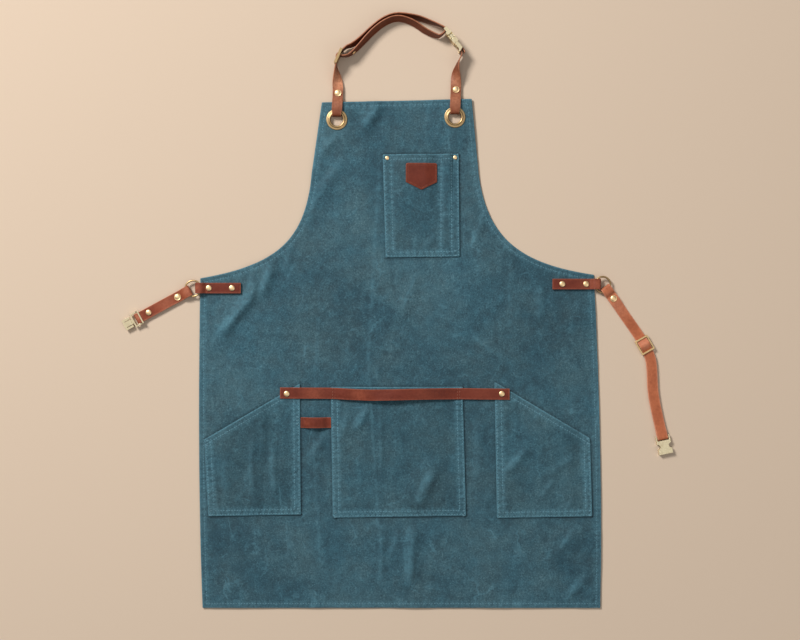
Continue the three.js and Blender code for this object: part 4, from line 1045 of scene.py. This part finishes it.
# Each strap's pale spots are painted highlights: x, y, reach and strength
straps = {
    "towelStrip": {
        **dark, "width": 19,
        "pale": [(-70, 367, 15, 0.62), (-148, 369, 17, 0.5), (40, 368, 22, 0.2), (140, 368, 20, 0.15)],
        "sway": [(-68, 20, 7), (-22, 24, -7), (58, 26, 5), (80, 12, -4)],
        "rows": [(x, y, z, 90, 0, 1) for x, y, z in [
            (-205.7, 369.3, stripRest), (-160, 369, stripRest), (-115, 368.6, stripRest), (-84, 367.2, 12.4),
            (-52, 366.2, 17.2), (-14, 366.6, 18.6), (30, 367.6, 16.6), (72, 368, 11.4), (101, 368, stripRest),
            (140, 367.6, stripRest), (187.8, 367.2, stripRest),
        ]],
    },
    "toolLoop": {
        **dark, "pale": [(-160, 318, 7, 0.4)],
        "rows": [(x, 318.3, tabLow + rise, 90, 0, 1) for x, rise in [
            (-170.4, 0), (-164, 0.4), (-155, 4.6), (-144.6, 6.2), (-134, 4.6), (-125, 0.4), (-118.6, 0),
        ]],
    },
    "sideTabLeft": {
        **dark, "pale": [(-347, 549, 8, 0.9), (-338, 549, 9, 0.5)],
        "rows": tabRows(-346.85, 549.2, 0, 73.4, ringSpots["Left"][2]),
    },
    "sideTabRight": {
        **dark, "pale": [(340, 556, 10, 0.95), (330, 556, 18, 0.6)],
        "rows": tabRows(340.4, 556.2, 180, 78.6, ringSpots["Right"][2]),
    },
    "waistStrapLeft": {
        **wearAndHighlight, "look": "redStrapLeather",
        "pale": [(-366, 546, 12, 0.6), (-400, 522, 16, 0.3), (-450, 499, 6, 0.8)], "rows": waistLeftRows(),
    },
    "waistStrapRight": {
        **wearAndHighlight, "look": "tanStrapLeather",
        "pale": [(372, 520, 26, 0.35), (421, 452, 7, 0.6)], "rows": waistRightRows(),
    },
    "neckStrapLong": {
        **neck, "pale": [(-104, 904, 18, 1.0), (-105, 870, 22, 0.3)], "rows": neckLongRows(),
    },
    "neckStrapShort": {
        **neck, "pale": [(97, 902, 16, 0.5), (96, 872, 20, 0.35)], "rows": neckShortRows(),
    },
}
for name, strap in straps.items():
    settle(ribbon(name, strap))


# Shield-shaped patch, bare, with a pressed line inside its edge
badge = {
    "outline": np.vstack([
        [[37, 717.8], [63.6, 731]], bezier([[63.6, 759.5], [63.6, 763.5], [59.6, 763.5]], 5),
        bezier([[14, 763.5], [10, 763.5], [10, 759.5]], 5), [[10, 759.5], [10, 731]],
    ]),
    "thick": 1.7, "lift": 0.2, "line": 3.2, "lineDepth": 0.22, "edge": 0.9, "edgeDrop": 0.7,
    "pitch": 1.1, "grid": 1.6, "gridX": (11, 63), "gridY": (718, 763), "inner": 5,
    "rings": [0.35, 0.9, 2.2, 2.8, 3.2, 3.6, 4.2],
    "lineReach": 0.5, "palePress": 0.45, "paleReach": (0.8, 0.6),
}


def makeBadge():
    outline = badge["outline"]
    rings = [dense(inset(outline, d), badge["pitch"], True) for d in badge["rings"]]
    grid = gridOf(*(np.arange(*badge[way], badge["grid"]) for way in ("gridX", "gridY")))
    grid = within(grid, outline, badge["inner"])
    flat, faces, rim = filled([dense(outline, badge["pitch"], True)], np.vstack([*rings, grid]))
    gap = nearest(flat, closedLoop(outline))[0]
    base = pockets["chestPocket"]["top"](flat[:, 0], flat[:, 1]) + badge["lift"]
    edge = np.clip(1 - gap / badge["edge"], 0, 1)
    top = base + badge["thick"] - badge["edgeDrop"] * (1 - np.sqrt(1 - edge**2))
    top -= badge["lineDepth"] * bell(gap - badge["line"], badge["lineReach"])
    count = len(flat)
    walls = [(a, a + count, b + count, b) for a, b in rim]
    behind = [tuple(i + count for i in reversed(f)) for f in faces]
    points = np.vstack([np.column_stack([flat, top]), np.column_stack([flat, base])])
    edgeReach, lineReach = badge["paleReach"]
    pale = np.maximum(bell(gap, edgeReach), badge["palePress"] * bell(gap - badge["line"], lineReach))
    marks = {"edge": np.tile(pale, 2)}
    return makePiece("badge", toFrame(points), faces + behind + walls, "darkLeather", marks)


settle(makeBadge())
print("stage: leather made")


# Geometry Nodes: a tree takes a guide path and its sizes, and gives a plain mesh
def endTree(tree, sink, shape, look):
    real = put(tree, "GeometryNodeRealizeInstances", {"Geometry": shape})
    finished = put(tree, "GeometryNodeSetMaterial", {"Geometry": real.outputs[0], "Material": look})
    tree.links.new(finished.outputs[0], sink[0])
    return tree


def grown(name, paths, tree, values):
    curve = bpy.data.curves.new(name, "CURVE")
    curve.dimensions = "3D"
    for path in paths:
        line = curve.splines.new("POLY")
        line.points.add(len(path) - 1)
        line.points.foreach_set("co", np.column_stack([path, np.ones(len(path))]).ravel())
    guide = bpy.data.objects.new(name + "Guide", curve)
    scene.collection.objects.link(guide)
    maker = guide.modifiers.new(tree.name, "NODES")
    maker.node_group = tree
    for item in tree.interface.items_tree:
        if item.in_out == "INPUT" and item.name in values:
            maker[item.identifier] = values[item.name]
    guide.update_tag()
    bpy.context.view_layer.update()
    graph = bpy.context.evaluated_depsgraph_get()
    mesh = bpy.data.meshes.new_from_object(guide.evaluated_get(graph), depsgraph=graph)
    bpy.data.objects.remove(guide)
    mesh.name = name
    piece = bpy.data.objects.new(name, mesh)
    scene.collection.objects.link(piece)
    return piece


# Turned metal: a profile of radius and height, swept round a circle
def turnedTree():
    takes = {"Profile": "Geometry", "Sides": "Int", "Core": "Float", "Metal": "Material"}
    tree, taken, sink = startTree("turnedMetal", "GeometryNodeTree", takes, {"Piece": "Geometry"})
    ring = {"Resolution": taken["Sides"], "Radius": taken["Core"]}
    circle = put(tree, "GeometryNodeCurvePrimitiveCircle", ring)
    upright = put(tree, "GeometryNodeSetCurveNormal", {"Curve": circle.outputs[0]}, mode="Z_UP")
    lines = {"Curve": upright.outputs[0], "Profile Curve": taken["Profile"]}
    swept = put(tree, "GeometryNodeCurveToMesh", lines)
    rounded = put(tree, "GeometryNodeSetShadeSmooth", {"Geometry": swept.outputs[0]})
    return endTree(tree, sink, rounded.outputs[0], taken["Metal"])


turnedMetal = turnedTree()
turnedCore, turnedSharp, turnedMerge = 0.1, 42, 1e-6


def turned(name, profile, spot, look, sides, tilt=None):
    radius, height = np.asarray(profile, float).T * millimetre
    path = np.column_stack([radius - turnedCore, -height, 0 * height])
    piece = grown(name, [path], turnedMetal, {"Sides": sides, "Core": turnedCore, "Metal": looks[look]})
    place = Matrix.Translation(toFrame(spot))
    piece.data.transform(place @ tilt.to_4x4() if tilt else place)
    return faceOut(piece, turnedSharp, turnedMerge)


def arcProfile(cr, ch, radius, start, end, count):
    angles = np.radians(np.linspace(start, end, count))
    return [(cr + radius * math.cos(a), ch + radius * math.sin(a)) for a in angles]


def leaning(heading, angle, axis):
    return Matrix.Rotation(math.radians(heading), 3, "Z") @ Matrix.Rotation(math.radians(angle), 3, axis)


back, front, wideSides = 4.5, 6.1, 72
grommetProfile = [
    (10.8, back - 0.6), (11.2, back - 1.2), (16.7, back - 1.2), (17.0, back - 0.9),
    (17.0, back), (12.2, back), (12.2, front), (17.6, front),
    *arcProfile(17.5, front + 0.6, 0.5, -40, 80, 5), (16.4, front + 1.25), (14.9, front + 1.2),
    (14.5, front + 1.35), *arcProfile(12.6, front + 0.4, 1.8, 20, 178, 10), (10.8, back - 0.6),
]
for side, (x, y) in grommetSpots.items():
    piece = turned("grommet" + side, grommetProfile, (x, y, 0), "antiqueBrass", wideSides)
    settle(piece)
ringProfile = arcProfile(ringSizes["radius"], 0, ringSizes["wire"], 0, 360, 17)
for side, (x, y, heading) in ringSpots.items():
    lean, spot = leaning(heading, ringSizes["tilt"], "Y"), (x, y, ringSizes["height"])
    settle(turned("ring" + side, ringProfile, spot, "antiqueBrass", wideSides, lean))


# A cap on a post, with a rim on snaps, and a flat back
def capProfile(cap, low, high, rim):
    reach, post, plate = min(3.8, cap - 0.3), 1.5, 0.7
    foot = [(cap - 0.35, high), (cap, high + 0.35), (cap - 0.08, high + 0.7)]
    wide, rise = cap * 0.97, 0.40
    if rim:
        wide, rise = cap * 0.80, 0.33
        foot += [(cap - 0.4, high + 1.05), (cap * 0.84, high + 1.0)]
    start, top = high + 0.85, high + rise * cap
    bows = np.linspace(1.5, 0.16, 9)
    dome = [(wide * math.sin(a), start + (top - start) * math.cos(a) ** 1.3) for a in bows]
    stem = [(0, low), (reach, low), (reach, low + plate), (post, low + plate), (post, high)]
    return [*stem, *foot, *dome, (0, top)]


# Kinds of stud: cap radius, back, cap's underside, rimmed
studKinds = {
    "chest": (3.4, 0.8, 5.4, False), "pocket": (5, 0.8, 7.7, False), "strap": (5, 0, 5.6, False),
    "snap": (6, 0, 5.6, True), "slider": (3.4, -2.4, 1.6, False),
}
studSides = 32
for name, kind, x, y in [
    ("chestRivetLeft", "chest", -22, 772.5), ("chestRivetRight", "chest", 94.5, 773.5),
    ("stripRivetLeft", "pocket", -194.4, 368), ("stripRivetRight", "pocket", 174.6, 368),
    ("tabRivetLeftOuter", "pocket", -327.95, 549.2), ("tabRivetLeftInner", "pocket", -288.35, 549.2),
    ("tabRivetRightOuter", "pocket", 319.1, 556.2), ("tabRivetRightInner", "pocket", 278.3, 556.2),
    ("snapNeckLeft", "snap", -106.6, 884), ("snapNeckRight", "snap", 96, 890),
    ("snapWaistLeft", "snap", -381.74, 534.04), ("snapWaistRight", "snap", 366.34, 531.27),
    ("buckleRivet", "strap", -431.35, 507.22),
]:
    settle(turned(name, capProfile(*studKinds[kind]), (x, y, 0), "studGold", studSides))
lean, spot = leaning(40, 80, "X"), (-80, 953.6, 10.8)
piece = turned("sliderRivet", capProfile(*studKinds["slider"]), spot, "studGold", studSides, lean)
settle(piece)


# A copy of a solid with its edges broken, flat faces kept flat, and painted shade in its recesses
casting = {"merge": 1e-5, "flat": 4, "sharp": 38, "edge": 0.0003, "off": 0.0001, "reach": 0.012, "hits": 8}
lookRound = [
    Vector((math.cos(a), math.sin(a), rise)).normalized()
    for rise in (0.25, 0.8) for a in np.arange(8) * math.pi / 4
]


def brokenEdges(name, look, fatten=None):
    piece = bpy.data.objects.new(name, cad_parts[nodeOf(name)].data.copy())
    scene.collection.objects.link(piece)
    tool = bmesh.new()
    tool.from_mesh(piece.data)
    bmesh.ops.remove_doubles(tool, verts=tool.verts, dist=casting["merge"])
    flat, sharp = math.radians(casting["flat"]), math.radians(casting["sharp"])
    bmesh.ops.dissolve_limit(tool, angle_limit=flat, verts=tool.verts, edges=tool.edges)
    if fatten:
        spot, away = Vector(toFrame(fatten["spot"])), Vector(fatten["away"]).normalized()
        for vert in tool.verts:
            vert.co += away * ((vert.co - spot).dot(away) * (fatten["share"] - 1))
    for face in tool.faces:
        face.smooth = False
    edges = [e for e in tool.edges if len(e.link_faces) == 2 and e.calc_face_angle() > sharp]
    rounded = bmesh.ops.bevel(
        tool, geom=edges, offset=casting["edge"], offset_type="OFFSET", segments=2, profile=0.5,
        affect="EDGES", clamp_overlap=True,
    )
    for face in rounded["faces"]:
        face.smooth = True
    # Painted shade: faces that see the solid itself on most rays get the near-black plating
    shape = BVHTree.FromBMesh(tool)
    for face in tool.faces:
        facing = face.normal.to_track_quat("Z", "Y")
        start = face.calc_center_median() + face.normal * casting["off"]
        rays = [shape.ray_cast(start, facing @ way, casting["reach"])[0] for way in lookRound]
        face.material_index = int(sum(hit is not None for hit in rays) > casting["hits"])
    tool.to_mesh(piece.data)
    tool.free()
    piece.data.materials.clear()
    for coat in (look, "recessBrass"):
        piece.data.materials.append(looks[coat])
    return piece


neckBuckle = {"spot": (90.0, 972.0, 12.0), "away": (0.845, 0.535, 0.0), "share": 1.3}
settle(brokenEdges("waistSlider", "frameGold"))
settle(brokenEdges("neckSlider", "antiqueBrass"))
for buckle, fatten in (("waistBuckle", None), ("neckBuckle", neckBuckle)):
    for half in ("Male", "Female"):
        settle(brokenEdges(buckle + half, "paleGold", fatten))
print("stage: metal made")


# Stitches: one rounded thread on each step of a path
def stitchTree():
    sizes = {label: "Float" for label in ("Pitch", "Length", "Thickness")}
    takes = {"Path": "Geometry", **sizes, "Thread": "Material"}
    tree, taken, sink = startTree("stitchRow", "GeometryNodeTree", takes, {"Stitches": "Geometry"})
    path = {"Curve": taken["Path"], "Length": taken["Pitch"]}
    steps = put(tree, "GeometryNodeResampleCurve", path, mode="LENGTH")
    ball = put(tree, "GeometryNodeMeshUVSphere", {"Segments": 8, "Rings": 5, "Radius": 0.5})
    thread = put(tree, "GeometryNodeSetShadeSmooth", {"Geometry": ball.outputs["Mesh"]})
    measures = {"X": taken["Length"], "Y": taken["Thickness"], "Z": taken["Thickness"]}
    size = put(tree, "ShaderNodeCombineXYZ", measures)
    tangent = put(tree, "GeometryNodeInputTangent")
    aim = put(tree, "FunctionNodeAlignRotationToVector", {"Vector": tangent.outputs[0]}, axis="X")
    rows = put(tree, "GeometryNodeInstanceOnPoints", {
        "Points": steps.outputs[0], "Instance": thread.outputs[0],
        "Rotation": aim.outputs[0], "Scale": size.outputs[0],
    })
    return endTree(tree, sink, rows.outputs[0], taken["Thread"])


stitchRow = stitchTree()
hem = {"Pitch": 0.0046, "Length": 0.0034, "Thickness": 0.0011}
fine = {"Pitch": 0.0026, "Length": 0.0019, "Thickness": 0.0007}


def stitches(name, paths, sizes, thread):
    paths = [toFrame(path) for path in paths]
    settle(grown(name, paths, stitchRow, {**sizes, "Thread": looks[thread]}), stands=False)


def onTop(path, top, rise):
    spots = dense(path, 3.0)
    return np.column_stack([spots, top(spots[:, 0], spots[:, 1]) + rise])


hemRise, tackRise, badgeRise = -0.28, 0.05, -0.3
tackGaps = (-1.2, 0, 1.2)
stitches("bodyStitches", [onTop(bodySeam, bodyTop, hemRise)], hem, "hemThread")
for name, pocket in pockets.items():
    rows = [onTop(seam["path"], pocket["top"], hemRise) for seam in pocket["seams"]]
    for x, y, run in pocket["tacks"]:
        bars = [np.array([[x + gap, y - run], [x + gap, y + run]]) for gap in tackGaps]
        rows += [onTop(bar, pocket["top"], tackRise) for bar in bars]
    stitches(name + "Stitches", rows, hem, "blueThread")
badgeRow = closedLoop(inset(badge["outline"], badge["line"]))
badgeRow = onTop(badgeRow, pockets["chestPocket"]["top"], badge["lift"] + badge["thick"] + badgeRise)
stitches("badgeStitches", [badgeRow], fine, "darkThread")
stripRows = [np.array([[x, 360.5, 7.38], [x, 376.5, 7.38]]) for x in (-115.5, -111.5, 98.5, 102.5)]
stitches("stripStitches", stripRows, hem, "brownThread")
print("stage: stitches made")

# Floor, light and camera
stage = {
    "floor": {"half": 6, "drop": 0.0004, "colour": (0.62, 0.485, 0.365, 1.0), "rough": 0.9, "shine": 0.1},
    "lamps": {
        "key": ((-2.5, 2.6, 3.1), 1.2, 240), "fill": ((2.6, -1.6, 3.0), 2.6, 26),
        "sky": ((0.0, 0.2, 3.8), 3.0, 20),
    },
    "world": {"Color": (0.95, 0.97, 1.0, 1.0), "Strength": 0.2},
    "camera": {"spot": (0.00464, -0.01578, 2.4), "sensor": 36, "across": 1.376},
}


def makeFloor():
    sizes = stage["floor"]
    half, mesh = sizes["half"], bpy.data.meshes.new("floor")
    corners = [(-half, -half, 0), (half, -half, 0), (half, half, 0), (-half, half, 0)]
    mesh.from_pydata(corners, [], [(0, 1, 2, 3)])
    floor = bpy.data.objects.new("floor", mesh)
    floor.location.z = -sizes["drop"]
    scene.collection.objects.link(floor)
    look = bpy.data.materials.new("floor")
    look.use_nodes = True
    surface = look.node_tree.nodes["Principled BSDF"].inputs
    surface["Base Color"].default_value = sizes["colour"]
    surface["Roughness"].default_value = sizes["rough"]
    surface["Specular IOR Level"].default_value = sizes["shine"]
    mesh.materials.append(look)


def makeLight():
    for name, (spot, size, power) in stage["lamps"].items():
        lamp = bpy.data.lights.new(name, "AREA")
        lamp.size, lamp.energy = size, power
        light = bpy.data.objects.new(name, lamp)
        light.location = spot
        light.rotation_euler = (-Vector(spot)).to_track_quat("-Z", "Y").to_euler()
        scene.collection.objects.link(light)
    world = bpy.data.worlds.new("studio")
    world.use_nodes = True
    for label, value in stage["world"].items():
        world.node_tree.nodes["Background"].inputs[label].default_value = value
    scene.world = world


def makeCamera():
    sizes = stage["camera"]
    lens = bpy.data.cameras.new("camera")
    lens.sensor_width = sizes["sensor"]
    lens.lens = sizes["sensor"] * sizes["spot"][2] / sizes["across"]
    camera = bpy.data.objects.new("camera", lens)
    camera.location = sizes["spot"]
    scene.collection.objects.link(camera)
    scene.camera = camera
    scene.view_settings.view_transform = "Standard"


makeFloor()
makeLight()
makeCamera()
print("stage: scene set")
